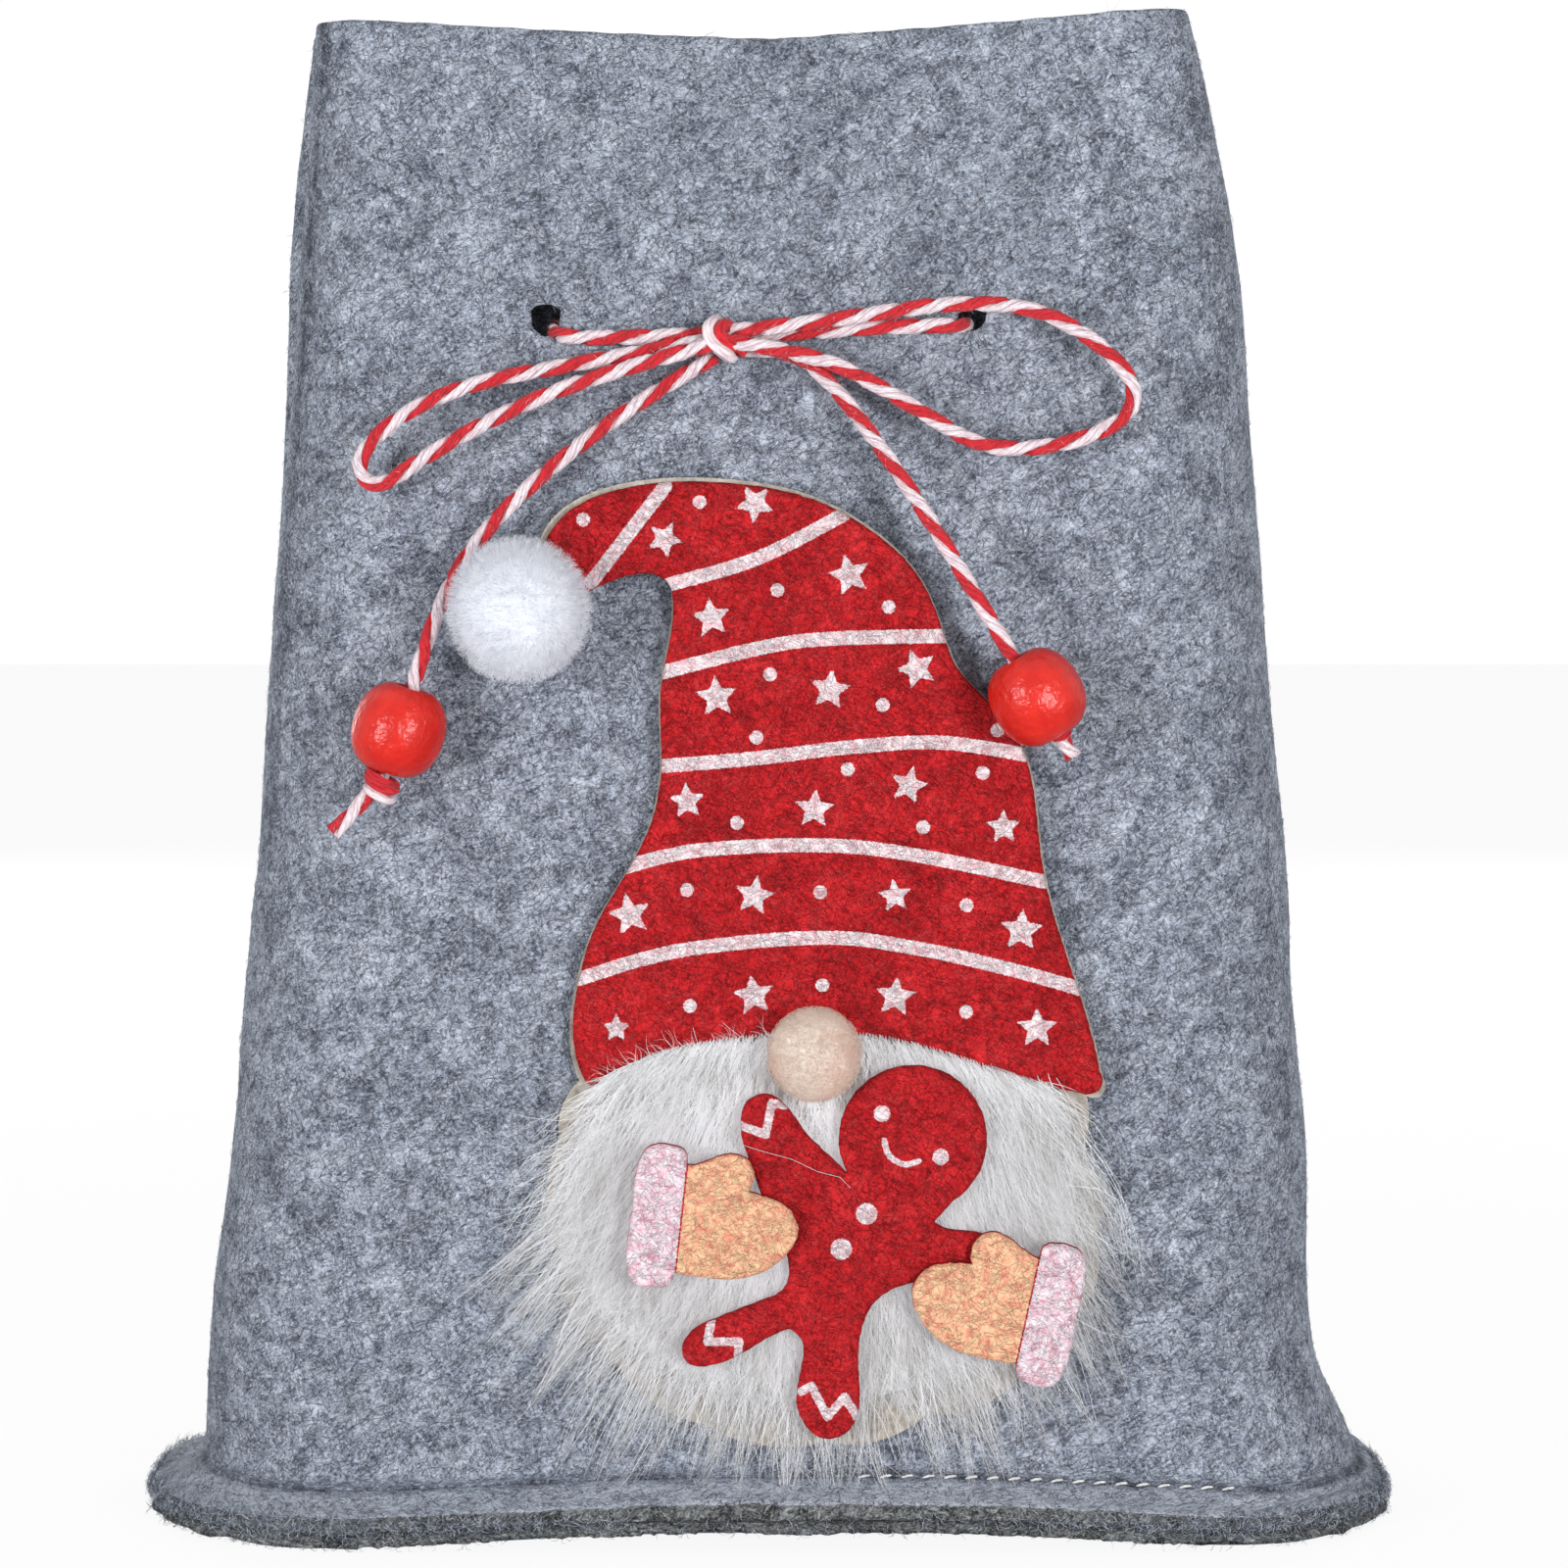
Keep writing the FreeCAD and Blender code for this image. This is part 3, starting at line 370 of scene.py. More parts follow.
def close_shape(shape, mesh):
    """Turns all faces outwards, and writes the shape to the mesh."""
    bmesh.ops.recalc_face_normals(shape, faces=shape.faces[:])
    shape.to_mesh(mesh)
    shape.free()


def give_values(mesh, name, values):
    """Gives each point of the mesh a value, which its material reads by name."""
    layer = mesh.attributes.new(name, "FLOAT", "POINT")
    layer.data.foreach_set("value", np.asarray(values, np.float32).reshape(-1))


def lay_map(mesh, name, places):
    """Lays the mesh out flat; places has one place on the map for each vertex."""
    layer = mesh.uv_layers.new(name=name)
    for loop in mesh.loops:
        layer.data[loop.index].uv = places[loop.vertex_index]


def panel_grid(columns, rows, side, seed):
    """A panel's points in millimetres, rows by columns, and its length round the foot at each column."""
    heights = [rim_height(plan_place(column, AT_MOUTH)[0]) for column in columns]
    run = [0.0]
    for before, after in zip(columns, columns[1:]):
        step = np.subtract(plan_place(after, WALL_FOOT), plan_place(before, WALL_FOOT))
        run.append(run[-1] + float(np.linalg.norm(step)))
    middle = run[len(run) // 2]
    grid = np.zeros((len(rows), len(columns), 3))
    for i, (kind, out, level) in enumerate(rows):
        for j, column in enumerate(columns):
            z = level if kind == "hem" else WALL_START + level * (heights[j] - WALL_START)
            sizes = wall_sizes(max(z, CREASE))
            sizes[:3] += out
            grid[i, j] = (*plan_place(column, sizes), z)
    ahead = np.gradient(grid, axis=1)
    outward = unit(np.stack([ahead[..., 1], -ahead[..., 0]], axis=-1))
    outward[:, :LIP_COLUMNS] = outward[:, LIP_COLUMNS, None]
    outward[:, -LIP_COLUMNS:] = outward[:, -LIP_COLUMNS - 1, None]
    for i, (kind, out, level) in enumerate(rows):
        for j in range(len(columns)):
            x, y, z = grid[i, j]
            from_middle = run[j] - middle
            calm = 1 - 0.7 * soft_step(66 - abs(from_middle), 0, 24) * soft_step(152 - z, 0, 16)
            push = BROAD_WAVE * wander(from_middle / 38, z / 30, seed)
            push = calm * (push + FINE_WAVE * wander(from_middle / 8, z / 8, seed))
            push += soft_foot(x, z, side < 0)
            to_seam = min(run[j], run[-1] - run[j])
            # beside the left seam the front swells out and the back draws in
            if x < 0:
                gape = 0.75 if side < 0 else -0.5
                push += gape * math.exp(-((to_seam / 2.4) ** 2)) * soft_step(z, 100, 140)
            if kind == "hem":
                # the hem's cut edge runs in and out, frays, and waves up and down
                edge = soft_step(out, 3.0, 7.5)
                waves = 0.5 * wander(from_middle / 9, seed) + 0.35 * wander(from_middle / 2.6, seed, 5.0)
                push += edge * waves
                push += edge * 0.5 * wander(from_middle / 0.9, out / 0.6, seed)
                if out > 6.9:
                    grid[i, j, 2] += 0.3 * wander(from_middle / 5, out / 2, seed + 9)
                grid[i, j, 2] += 0.3 * edge * (1 + wander(from_middle / 14, seed + 3))
            grid[i, j, :2] += outward[i, j] * push
            grid[i, j, 1] *= -side
            grid[i, j, 2] += hem_lift(*grid[i, j, :2]) * (1 - soft_step(z, 12, 60))
            lean = soft_step(grid[i, j, 1], 1.0, 5.0) * soft_step(-x, 30, 50) * soft_step(z, 105, 180)
            grid[i, j, 0] -= LEFT_LEAN * lean
    return grid, run


def painted_felt_shade(grid, rows, side):
    """Painted shade and light for the felt's colour: darker in the crease and in a strip beside the front's
    left seam, where shade falls, and paler on the top of the hem, which faces up to the light.
    """
    pressed = np.zeros(grid.shape[:2])
    for i, (kind, out, z) in enumerate(rows):
        # painted shade in the crease under the sagging foot of the wall
        if kind == "hem" and -0.5 < out < 2.0 and z > 5:
            uneven = 1 - 0.5 * np.abs(np.sin(0.19 * grid[i, :, 0]))
            pressed[i] = math.exp(-(((z - 7.0) / 0.4) ** 2)) * uneven
        # painted light: the top of the hem is made paler
        if kind == "hem" and 1.0 < out < 8.0 and z > 4:
            pressed[i] -= 1.1
        # painted shade in a strip beside the front's left seam
        if kind == "wall" and side < 0:
            across_wall = grid[i, :, 0] - grid[i, :, 0].min()
            beside = np.exp(-(((across_wall - 2.3) / 0.7) ** 2)) * np.clip((grid[i, :, 2] - 90) / 40, 0, 1)
            pressed[i] += 0.9 * beside
    return pressed


def panel_mesh(name, side, seed):
    """The front panel (side -1) or the back panel (side 1) as one closed sheet."""
    columns, rows = plan_columns(), panel_rows()
    grid, run = panel_grid(columns, rows, side, seed)
    across, faces, slots = len(columns), [], []
    hem_row = RIM_ROWS + WALL_ROWS
    # the hem's cut edge takes the second finish, a darker copy of the felt that paints shade on it
    cut_rows = range(hem_row + len(HEM_TOP) - 1, hem_row + len(HEM_TOP) + len(HEM_EDGE) + 1)
    for i in range(len(rows)):
        below = (i + 1) % len(rows)
        for j in range(across - 1):
            corners = [i * across + j, below * across + j, below * across + j + 1, i * across + j + 1]
            faces.append(corners if side < 0 else corners[::-1])
            slots.append(1 if i in cut_rows else 0)
    for j in (0, across - 1):
        for i in range(len(rows) // 2):
            far = len(rows) - 1 - i
            if far - i > 1:
                corners = [row * across + j for row in (i, i + 1, far - 1, far)]
                faces.append(corners if (j == 0) == (side > 0) else corners[::-1])
                slots.append(0)
    mesh = smooth_mesh(name, (grid.reshape(-1, 3) * MM).tolist(), faces)
    mesh.polygons.foreach_set("material_index", slots)
    # painted shade and light for the felt: darker in the crease and beside the left seam, paler on the
    # hem's top
    give_values(mesh, "pressed", painted_felt_shade(grid, rows, side))
    steps = np.linalg.norm(np.diff(grid[..., :2], axis=1), axis=2)
    sideways = np.concatenate([np.zeros((len(rows), 1)), np.cumsum(steps, axis=1)], axis=1)
    sideways -= sideways[:, across // 2, None]
    down = np.broadcast_to(run_along(grid[:, MAP_COLUMN])[:, None], sideways.shape)
    lay_map(mesh, "felt", np.stack([sideways * MM * -side, down * MM], axis=-1).reshape(-1, 2))
    return mesh, grid, run[-1]


# the tie holes; the twine pulls the front's right one up, and the back's have closed up round it
HOLES_X, RIGHT_PULL = (-31.0, 28.0), 0.7
FRONT_HOLE, BACK_HOLE = 2.2, 1.5


def punch(mesh, x, z, radius):
    """A punched hole through both faces of a sheet, along Y, a little out of round."""
    shape = bmesh.new()
    shape.from_mesh(mesh)
    inside = []
    for face in shape.faces:
        centre = face.calc_center_median() / MM
        if math.hypot(centre.x - x, centre.z - z) < radius:
            inside.append(face)
    bmesh.ops.delete(shape, geom=inside, context="FACES")
    edges = [edge for edge in shape.edges if edge.is_boundary]
    for vertex in {vertex for edge in edges for vertex in edge.verts}:
        dx, dz = vertex.co.x / MM - x, vertex.co.z / MM - z
        reach = radius * (1 + 0.07 * math.sin(3 * math.atan2(dz, dx))) / math.hypot(dx, dz)
        vertex.co.x, vertex.co.z = (x + dx * reach) * MM, (z + dz * reach) * MM
    wall = bmesh.ops.bridge_loops(shape, edges=edges)
    # the hole's wall takes the third finish, near-black felt that paints the shade inside the hole
    for face in wall["faces"]:
        face.material_index = 2
    shape.to_mesh(mesh)
    shape.free()


# felt that faces inwards or down has its own part of the map
MAP_SHIFT = 0.4


def add_allowances(mesh, grid, side):
    """The two side edges of a panel, turned in at the seam, as strips of the same mesh."""
    shape = bmesh.new()
    shape.from_mesh(mesh)
    felt_place = shape.loops.layers.uv["felt"]
    new_faces = []
    for j, inward in ((0, 1), (-1, -1)):
        before = None
        for i in range(4, WALL_ROWS + 4, 4):
            x, y, z = grid[i, j]
            ring = []
            reach = FELT + ALLOWANCE
            for dx, dy in ((1.0, 0.0), (reach, 0.0), (reach, FELT), (1.0, FELT)):
                wave = 0.25 * wander(z / 12, dx / 4, 3.0 * j)
                place = (x + inward * dx, y + side * (dy + wave), z)
                ring.append(shape.verts.new([value * MM for value in place]))
            if before is None:
                new_faces.append(shape.faces.new(ring))
            else:
                for k in range(4):
                    corners = (before[k], before[(k + 1) % 4], ring[(k + 1) % 4], ring[k])
                    new_faces.append(shape.faces.new(corners))
            before = ring
        new_faces.append(shape.faces.new(before[::-1]))
    for face in new_faces:
        for loop in face.loops:
            place = loop.vert.co
            loop[felt_place].uv = (place.x + MAP_SHIFT, place.z + place.y)
    close_shape(shape, mesh)


# the way that each lay of single fibres runs, in degrees, and how fine it is
FIBRE_LAYS = [(18, 1100), (68, 1300), (118, 1200), (158, 1450), (95, 950), (40, 1250)]


def needle_felt(name, stops, fibre, shadow, light_share, dark_share):
    """Pressed felt: clouds of fibre colour, a fine grain, single fibres as thin wiggly lines, and painted
    shade and light where the mesh gives it.
    """
    material, shader, link = new_finish(name, roughness=0.95, specular=0.12)
    place = link.on_map("felt")
    clouds = place.noise(110.0, detail=2.0, roughness=0.5, distortion=0.5)
    mottle = place.noise(400.0, detail=6.0, roughness=0.8, distortion=0.7)
    grain = place.noise(2100.0, detail=3.0, roughness=0.75)
    # painted shade and light: a value of the mesh darkens the felt in the crease and beside the front's
    # left seam, and lightens the top of the hem
    pressed = place.value("pressed")
    depth = clouds * 0.18 + mottle * 0.42 + grain * 0.40 - pressed * (0.05 + grain * 0.05)
    colour = depth.ramp(stops)
    relief = mottle * 0.6 + grain * 0.3
    for i, (turn, scale) in enumerate(FIBRE_LAYS):
        feeds = {
            "Vector": place,
            "Location": (0.31 * i, 0.17 * i, 0.0),
            "Rotation": (0.0, 0.0, math.radians(turn)),
            "Scale": (1.0, 3.2, 1.0),
        }
        laid = place.node("ShaderNodeMapping", {"vector_type": "TEXTURE"}, feeds)
        lines = laid.noise(scale, detail=1.0, roughness=0.4, distortion=0.6)
        near = (lines - 0.5).maths("ABSOLUTE", lines - 0.5)
        thin = 1 - near.between(0.008, 0.040)
        broken = laid.noise(scale * 0.7, detail=1.0).between(0.44, 0.56)
        strand = thin * broken
        if i % 2:
            colour = (strand * dark_share).mix(colour, shadow)
        else:
            colour = (strand * light_share).mix(colour, fibre)
        relief = relief + strand * 0.3
    feed(shader, "Base Color", colour)
    raise_relief(shader, relief, 0.0006, 1.0)
    return material


bag_felt = needle_felt(
    "bag_felt",
    [
        (0.41, rgb(76, 82, 95)),
        (0.46, rgb(123, 130, 145)),
        (0.52, rgb(168, 176, 192)),
        (0.59, rgb(208, 216, 230)),
    ],
    rgb(212, 219, 232),
    rgb(72, 77, 88),
    0.42,
    0.5,
)
# painted shade: a darker copy of the same felt, given to the low cut edges of the hem and the base, which
# lie in shade
shaded_cut_felt = needle_felt(
    "shaded_cut_felt",
    [
        (0.40, rgb(46, 47, 49)),
        (0.47, rgb(84, 86, 88)),
        (0.53, rgb(124, 127, 130)),
        (0.61, rgb(180, 184, 188)),
    ],
    rgb(190, 193, 192),
    rgb(34, 35, 36),
    0.6,
    0.6,
)

# painted shade: near-black felt for the wall of each tie hole, where there is only shade
hole_painted_shade, hole_shader, hole_link = new_finish("hole_painted_shade", roughness=0.95, specular=0.1)
hole_place = hole_link.on_object()
hole_tone = hole_place.noise(1500.0, detail=3.0).between(0.35, 0.65)
feed(hole_shader, "Base Color", hole_tone.mix(rgb(16, 17, 19), rgb(52, 54, 58)))


def add_piece(name, mesh, slot, *finishes, node=None):
    """A new object of a finished mesh, at the origin, on the bag; node is the CAD node it stands for."""
    for finish in finishes:
        mesh.materials.append(finish)
    piece = bpy.data.objects.new(name, mesh)
    bpy.context.collection.objects.link(piece)
    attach(piece, "bag")
    if node:
        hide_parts(node)
    return piece


PANELS = {}
for name, side, seed in (("front_panel", -1, 1.0), ("back_panel", 1, 4.0)):
    mesh, grid, girth = panel_mesh(f"{name}_felt", side, seed)
    for x in HOLES_X:
        pull = RIGHT_PULL if side < 0 < x else 0.0
        punch(mesh, x, TIE + pull, FRONT_HOLE if side < 0 else BACK_HOLE)
    add_allowances(mesh, grid, side)
    panel = add_piece(f"{name}_felt", mesh, "bag_felt", bag_felt, shaded_cut_felt, hole_painted_shade, node=name)
    flat_width, flat_height = (girth + 2 * ALLOWANCE) * MM, 0.216
    0.93 * flat_width * flat_height
    PANELS[name] = grid


# ---------------------------------------------------------------- bag: base panel and its seam
# The same felt, cut as a long oval and sewn to the hem with cream thread, right at the crease. The
# seam puckers it, so that it rises to a ridge under the stitches and lies flat inside them.

# the base's profile, as steps out from the wall and heights: its underside, its cut edge and its top
BASE_UNDER = [
    (-20.0, 0.0), (-15.0, 0.0), (-11.0, 0.0), (-9.0, 0.02), (-7.0, 1.0), (-5.0, 2.2), (-3.2, 2.9),
    (-1.8, 2.95), (0.0, 2.3), (2.0, 1.4), (4.0, 0.6), (5.2, 0.05), (7.0, 0.0),
]
BASE_EDGE = [(7.9, 0.05), (8.25, 0.45), (8.4, 1.0), (8.3, 1.6)]
BASE_TOP = [
    (7.9, 2.05), (7.0, 2.25), (5.5, 2.75), (3.5, 3.42), (1.5, 4.08), (-0.5, 4.75), (-1.5, 4.95),
    (-3.0, 4.9), (-4.5, 4.2), (-7.0, 2.9), (-9.0, 2.1), (-11.0, 2.0), (-15.0, 2.0), (-20.0, 2.0),
]


def base_mesh():
    """The base as rings round the bag, from the middle of its underside to the middle of its top."""
    columns = [column for column in plan_columns() if column[1] != "lip"]
    profile = BASE_UNDER + BASE_EDGE + BASE_TOP
    shape = bmesh.new()
    rings = []
    for out, z in profile:
        sizes = WALL_FOOT.copy()
        sizes[:3] += out
        front = [plan_place(column, sizes) for column in columns]
        ring = front + [(x, -y) for x, y in front[::-1]]
        placed = []
        ragged = soft_step(out, 5.0, 7.6)
        for x, y in ring:
            push = ragged * (0.5 * wander(x / 8, y / 8, 2.0) + 0.4 * wander(x / 2.4, y / 2.4, 6.0))
            push += ragged * 0.35 * wander(x / 0.9, y / 0.9, z / 0.6)
            length = math.hypot(x, y)
            lift = 0.3 * soft_step(out, 5.5, 7.6) * (1 + wander(x / 10, y / 10, 8.0)) if z < 0.5 else 0.0
            lift += hem_lift(x, y) * soft_step(out, -9, 3)
            if z < 0.6:
                lift += ragged * abs(wander(x / 1.6, y / 1.6, 12.0) + 0.6 * wander(x / 6, y / 6, 3.0))
            crown = 0.25 * wander(x / 30, y / 30, 5.0) if 1.5 < z < 2.2 and out < -9 else 0.0
            place = (x + x / length * push, y + y / length * push, z + lift + abs(crown))
            placed.append(shape.verts.new([value * MM for value in place]))
        rings.append(placed)
    # the base's cut edge takes the second finish, a darker copy of the felt that paints shade on it
    edge_rows = range(len(BASE_UNDER) - 1, len(BASE_UNDER) + len(BASE_EDGE) + 1)
    for row, (low, high) in enumerate(zip(rings, rings[1:])):
        for k in range(len(low)):
            n = (k + 1) % len(low)
            face = shape.faces.new((low[k], low[n], high[n], high[k]))
            face.smooth = True
            face.material_index = 1 if row in edge_rows else 0
    shape.faces.new(rings[0][::-1])
    shape.faces.new(rings[-1])
    mesh = bpy.data.meshes.new("base_panel_felt")
    close_shape(shape, mesh)
    lay_map(mesh, "felt", [(v.co.x + MAP_SHIFT, v.co.y + v.co.z * 1.5) for v in mesh.vertices])
    return mesh


base = add_piece("base_panel_felt", base_mesh(), "bag_felt", bag_felt, shaded_cut_felt, node="base_panel")


# ---------------------------------------------------------------- bag: the seam's stitches
# Cream cotton thread, one lock stitch every 3 mm, pulled into the felt along the crease. It shows
# best on the right of the front, where the foot of the wall does not sag over it.

SEAM_SHOWS = (10.0, 71.0)
PITCH, STITCH, SLANT, STITCH_LIFT = 3.0, 1.75, 0.20, 0.16
# half the stitch's thickness along its length: pointed at both ends
STITCH_SHAPE = [(0.0, 0.08), (0.12, 0.17), (0.5, 0.20), (0.88, 0.17), (1.0, 0.08)]
SIDES = 6
cream_thread, thread_shader, thread_link = new_finish("cream_thread", roughness=0.8, specular=0.2)
thread_place = thread_link.on_object()
thread_tone = thread_place.noise(2600.0, detail=2.0).between(0.35, 0.65)
feed(thread_shader, "Base Color", thread_tone.mix(rgb(214, 214, 210), rgb(248, 248, 246)))


def stitch_row(name, line):
    """Stitches along a line of points in millimetres: short, a little slanted, rounded at their ends."""
    run = run_along(line)
    shape = bmesh.new()
    for place in np.arange(PITCH, run[-1] - PITCH, PITCH):
        here, there = [
            Vector([np.interp(at, run, line[:, axis]) for axis in range(3)])
            for at in (place - STITCH / 2, place + STITCH / 2)
        ]
        here.z -= SLANT
        there.z += SLANT
        along_it = (there - here).normalized()
        across = along_it.cross(Vector((0, 0, 1))).normalized()
        up = across.cross(along_it)
        rings = []
        for share, reach in STITCH_SHAPE:
            centre = here.lerp(there, share) + up * 0.12 * math.sin(math.pi * share)
            ring = []
            for k in range(SIDES):
                angle = k * math.pi / 3
                out = across * math.cos(angle) + up * math.sin(angle)
                ring.append(shape.verts.new((centre + out * reach) * MM))
            rings.append(ring)
        for low, high in zip(rings, rings[1:]):
            for k in range(SIDES):
                n = (k + 1) % SIDES
                shape.faces.new((low[k], low[n], high[n], high[k]))
        shape.faces.new(rings[0][::-1])
        shape.faces.new(rings[-1])
    mesh = bpy.data.meshes.new(name)
    close_shape(shape, mesh)
    mesh.polygons.foreach_set("use_smooth", [True] * len(mesh.polygons))
    return mesh


# the row of the panels that lies in the crease, which is the fifth of the hem's
seam_row = RIM_ROWS + WALL_ROWS + 4
for name, grid in PANELS.items():
    line = grid[seam_row] + (0.0, 0.0, STITCH_LIFT)
    if name == "front_panel":
        line = line[(line[:, 0] > SEAM_SHOWS[0]) & (line[:, 0] < SEAM_SHOWS[1])]
    add_piece(f"{name}_seam", stitch_row(f"{name}_seam", line), "twine", cream_thread)


# ---------------------------------------------------------------- bag: loose fibres
# Needle felt sheds: dark, grey and white fibres stand out of its faces and its cut edges, and a few
# long white ones lie curled on the front.

dice = np.random.default_rng(11)
TABLE_ROOM = 0.08


def strands(name, lines, widths, shades):
    """Thin closed hairs as one mesh: lines is hairs x points x 3 in millimetres, widths hairs x points."""
    count, length = lines.shape[:2]
    ahead = unit(np.gradient(lines, axis=1), 1e-9)
    guide = np.where(np.abs(ahead[..., 1:2]) < 0.9, (0.0, 1.0, 0.0), (1.0, 0.0, 0.0))
    first = unit(np.cross(ahead, guide), 1e-9)
    second = np.cross(ahead, first)
    corners = []
    for k in range(3):
        angle = 2 * math.pi * k / 3
        corners.append(lines + (first * math.cos(angle) + second * math.sin(angle)) * widths[..., None] / 2)
    vertices = np.stack(corners, axis=2).reshape(-1, 3) * MM
    hair = np.arange(count)[:, None, None] * length * 3
    step = np.arange(length - 1)[None, :, None] * 3
    side = np.arange(3)[None, None, :]
    low, after = hair + step + side, hair + step + (side + 1) % 3
    quads = np.stack([low, after, after + 3, low + 3], axis=-1).reshape(-1, 4)
    root = (hair[:, 0] + np.array([2, 1, 0])).reshape(-1, 3)
    tip = (hair[:, 0] + (length - 1) * 3 + np.array([0, 1, 2])).reshape(-1, 3)
    mesh = smooth_mesh(name, vertices.tolist(), quads.tolist() + root.tolist() + tip.tolist())
    give_values(mesh, "tone", np.repeat(shades.reshape(-1), 3))
    return mesh


def loose_fibres(mesh, count, length, width, rise, keep):
    """Fibres that start in a mesh's faces and lie over to one side; keep says which faces shed them."""
    mesh.calc_loop_triangles()
    corners = np.zeros(len(mesh.loop_triangles) * 3, np.int32)
    mesh.loop_triangles.foreach_get("vertices", corners)
    places = np.zeros(len(mesh.vertices) * 3)
    mesh.vertices.foreach_get("co", places)
    a, b, c = (places.reshape(-1, 3)[corners.reshape(-1, 3)[:, k]] / MM for k in range(3))
    facing = np.cross(b - a, c - a)
    areas = np.linalg.norm(facing, axis=1)
    facing /= areas[:, None] + 1e-12
    odds = areas * keep((a + b + c) / 3, facing)
    chosen = dice.choice(len(areas), count, p=odds / odds.sum())
    share = dice.random((count, 2))
    share[share.sum(axis=1) > 1] = 1 - share[share.sum(axis=1) > 1]
    roots = a[chosen] + share[:, :1] * (b - a)[chosen] + share[:, 1:] * (c - a)[chosen]
    up = facing[chosen]
    aside = unit(np.cross(up, dice.normal(size=(count, 3))), 1e-12)
    turn = np.cross(up, aside)
    reach = length * dice.uniform(0.4, 1.5, (count, 1))
    curl = dice.uniform(-0.7, 0.7, (count, 1))
    lift = rise * dice.uniform(0.2, 1.3, (count, 1))
    lines = np.zeros((count, 3, 3))
    for k, part in enumerate((0.0, 0.5, 1.0)):
        flat = aside * reach * part + turn * reach * curl * part ** 2
        lines[:, k] = roots + flat + up * (lift * math.sin(2.6 * part) - 0.04)
    lines[..., 2] = np.maximum(lines[..., 2], TABLE_ROOM)
    widths = width * dice.uniform(0.7, 1.3, (count, 1)) * np.array([0.9, 1.0, 0.4])[None]
    shades = np.repeat(dice.uniform(0, 1, (count, 1)), 3, axis=1)
    return lines, widths, shades


def fibre_finish(name, stops):
    """Loose fibres in the colours of their felt, one shade to a fibre."""
    material, shader, link = new_finish(name, roughness=0.8, specular=0.2)
    shade = link.value("tone")
    feed(shader, "Base Color", shade.ramp(stops))
    return material


grey_fibres = fibre_finish("grey_fibres", [
    (0.0, rgb(70, 75, 86)), (0.35, rgb(108, 115, 130)),
    (0.6, rgb(170, 178, 194)), (1.0, rgb(222, 228, 238)),
])


def shed(source, name, slot, finish, *fibres):
    """Adds a piece's loose fibres: their number, length, width and rise, and which faces shed them."""
    lines, widths, shades = loose_fibres(bpy.data.objects[source].data, *fibres)
    add_piece(name, strands(name, lines, widths, shades), slot, finish)


def outwards(centres, facing):
    """How far faces look away from the bag's middle, times how far out they lie."""
    return np.sum(centres * (1.0, 1.0, 0.0) * facing, axis=1)


def outer_face(centres, facing):
    """Faces of the bag's outside, and of the top of its hem."""
    return (outwards(centres, facing) > 0) | (facing[:, 2] > 0.3) & (centres[:, 2] < 12)


def hem_edge(centres, facing):
    """Faces of the cut edges of the hem, low on the bag, that look outwards."""
    return (centres[:, 2] < 4.6) & (outwards(centres, facing) > 20)


for name in ("front_panel", "back_panel"):
    shed(f"{name}_felt", f"{name}_fibres", "bag_felt", grey_fibres, 12000, 1.3, 0.06, 0.24, outer_face)
for name in ("front_panel", "back_panel", "base_panel"):
    shed(f"{name}_felt", f"{name}_edge_fibres", "bag_felt", grey_fibres, 5000, 1.2, 0.07, 0.6, hem_edge)

# curled fibres: place on the front, size, and the way they start
CURLS = [
    (-39.4, 196.0, 0.9, 0.4), (-14.0, 186.0, 0.6, 2.0), (41.0, 143.0, 0.7, 4.1),
    (-52.0, 92.0, 0.6, 1.0), (55.0, 61.0, 0.8, 3.0),
]
CURL_POINTS = 16
curls = np.zeros((len(CURLS), CURL_POINTS, 3))
front = PANELS["front_panel"].reshape(-1, 3)
for k, (x, z, reach, turn) in enumerate(CURLS):
    nearest = front[np.argmin(np.hypot(front[:, 0] - x, front[:, 2] - z) + (front[:, 1] > -15) * 99)]
    for i, angle in enumerate(np.linspace(0, 7.2, CURL_POINTS)):
        grow = reach * (0.55 + 0.11 * angle)
        across, upward = grow * 0.7 * math.cos(angle + turn), grow * math.sin(angle + turn)
        curls[k, i] = (x + across, nearest[1] - 0.35, z + upward)
curl_mesh = strands("front_panel_curls", curls, np.full(curls.shape[:2], 0.11), np.ones(curls.shape[:2]))
add_piece("front_panel_curls", curl_mesh, "bag_felt", grey_fibres)


# ---------------------------------------------------------------- gnome: board and glue
# A die-cut board, 1.5 mm thick, the shape of the hat and of the beard's cloud. It is glued to the
# front of the bag with six dots, and everything else of the gnome is glued on it.

board_finish, board_shader, board_link = new_finish("board", roughness=0.85, specular=0.2)
board_place = board_link.on_object()
pulp = board_place.noise(700.0, detail=4.0, roughness=0.7)
specks = board_place.noise(2400.0, detail=2.0)
board_tone = pulp * 0.7 + specks * 0.3
board_stops = [(0.35, rgb(146, 139, 129)), (0.5, rgb(180, 173, 162)), (0.65, rgb(204, 198, 189))]
feed(board_shader, "Base Color", board_tone.ramp(board_stops))
raise_relief(board_shader, board_tone, 0.0002, 0.6)

glue_finish, glue_shader, glue_link = new_finish("hot_glue", roughness=0.3, specular=0.5)
glue_place = glue_link.on_object()
glue_cloud = glue_place.noise(400.0).between(0.3, 0.7)
feed(glue_shader, "Base Color", glue_cloud.mix(rgb(206, 200, 182), rgb(232, 228, 216)))
for node, finish in (("gnome_board", board_finish), ("backing_glue", glue_finish)):
    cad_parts[node].material_slots[0].material = finish


# ---------------------------------------------------------------- gnome: beard
# A cut piece of long faux fur on the lower half of the board, combed down and outwards. The pile is
# white in the middle, under the nose, and greyer round its rim; a few hairs stray onto the hat.

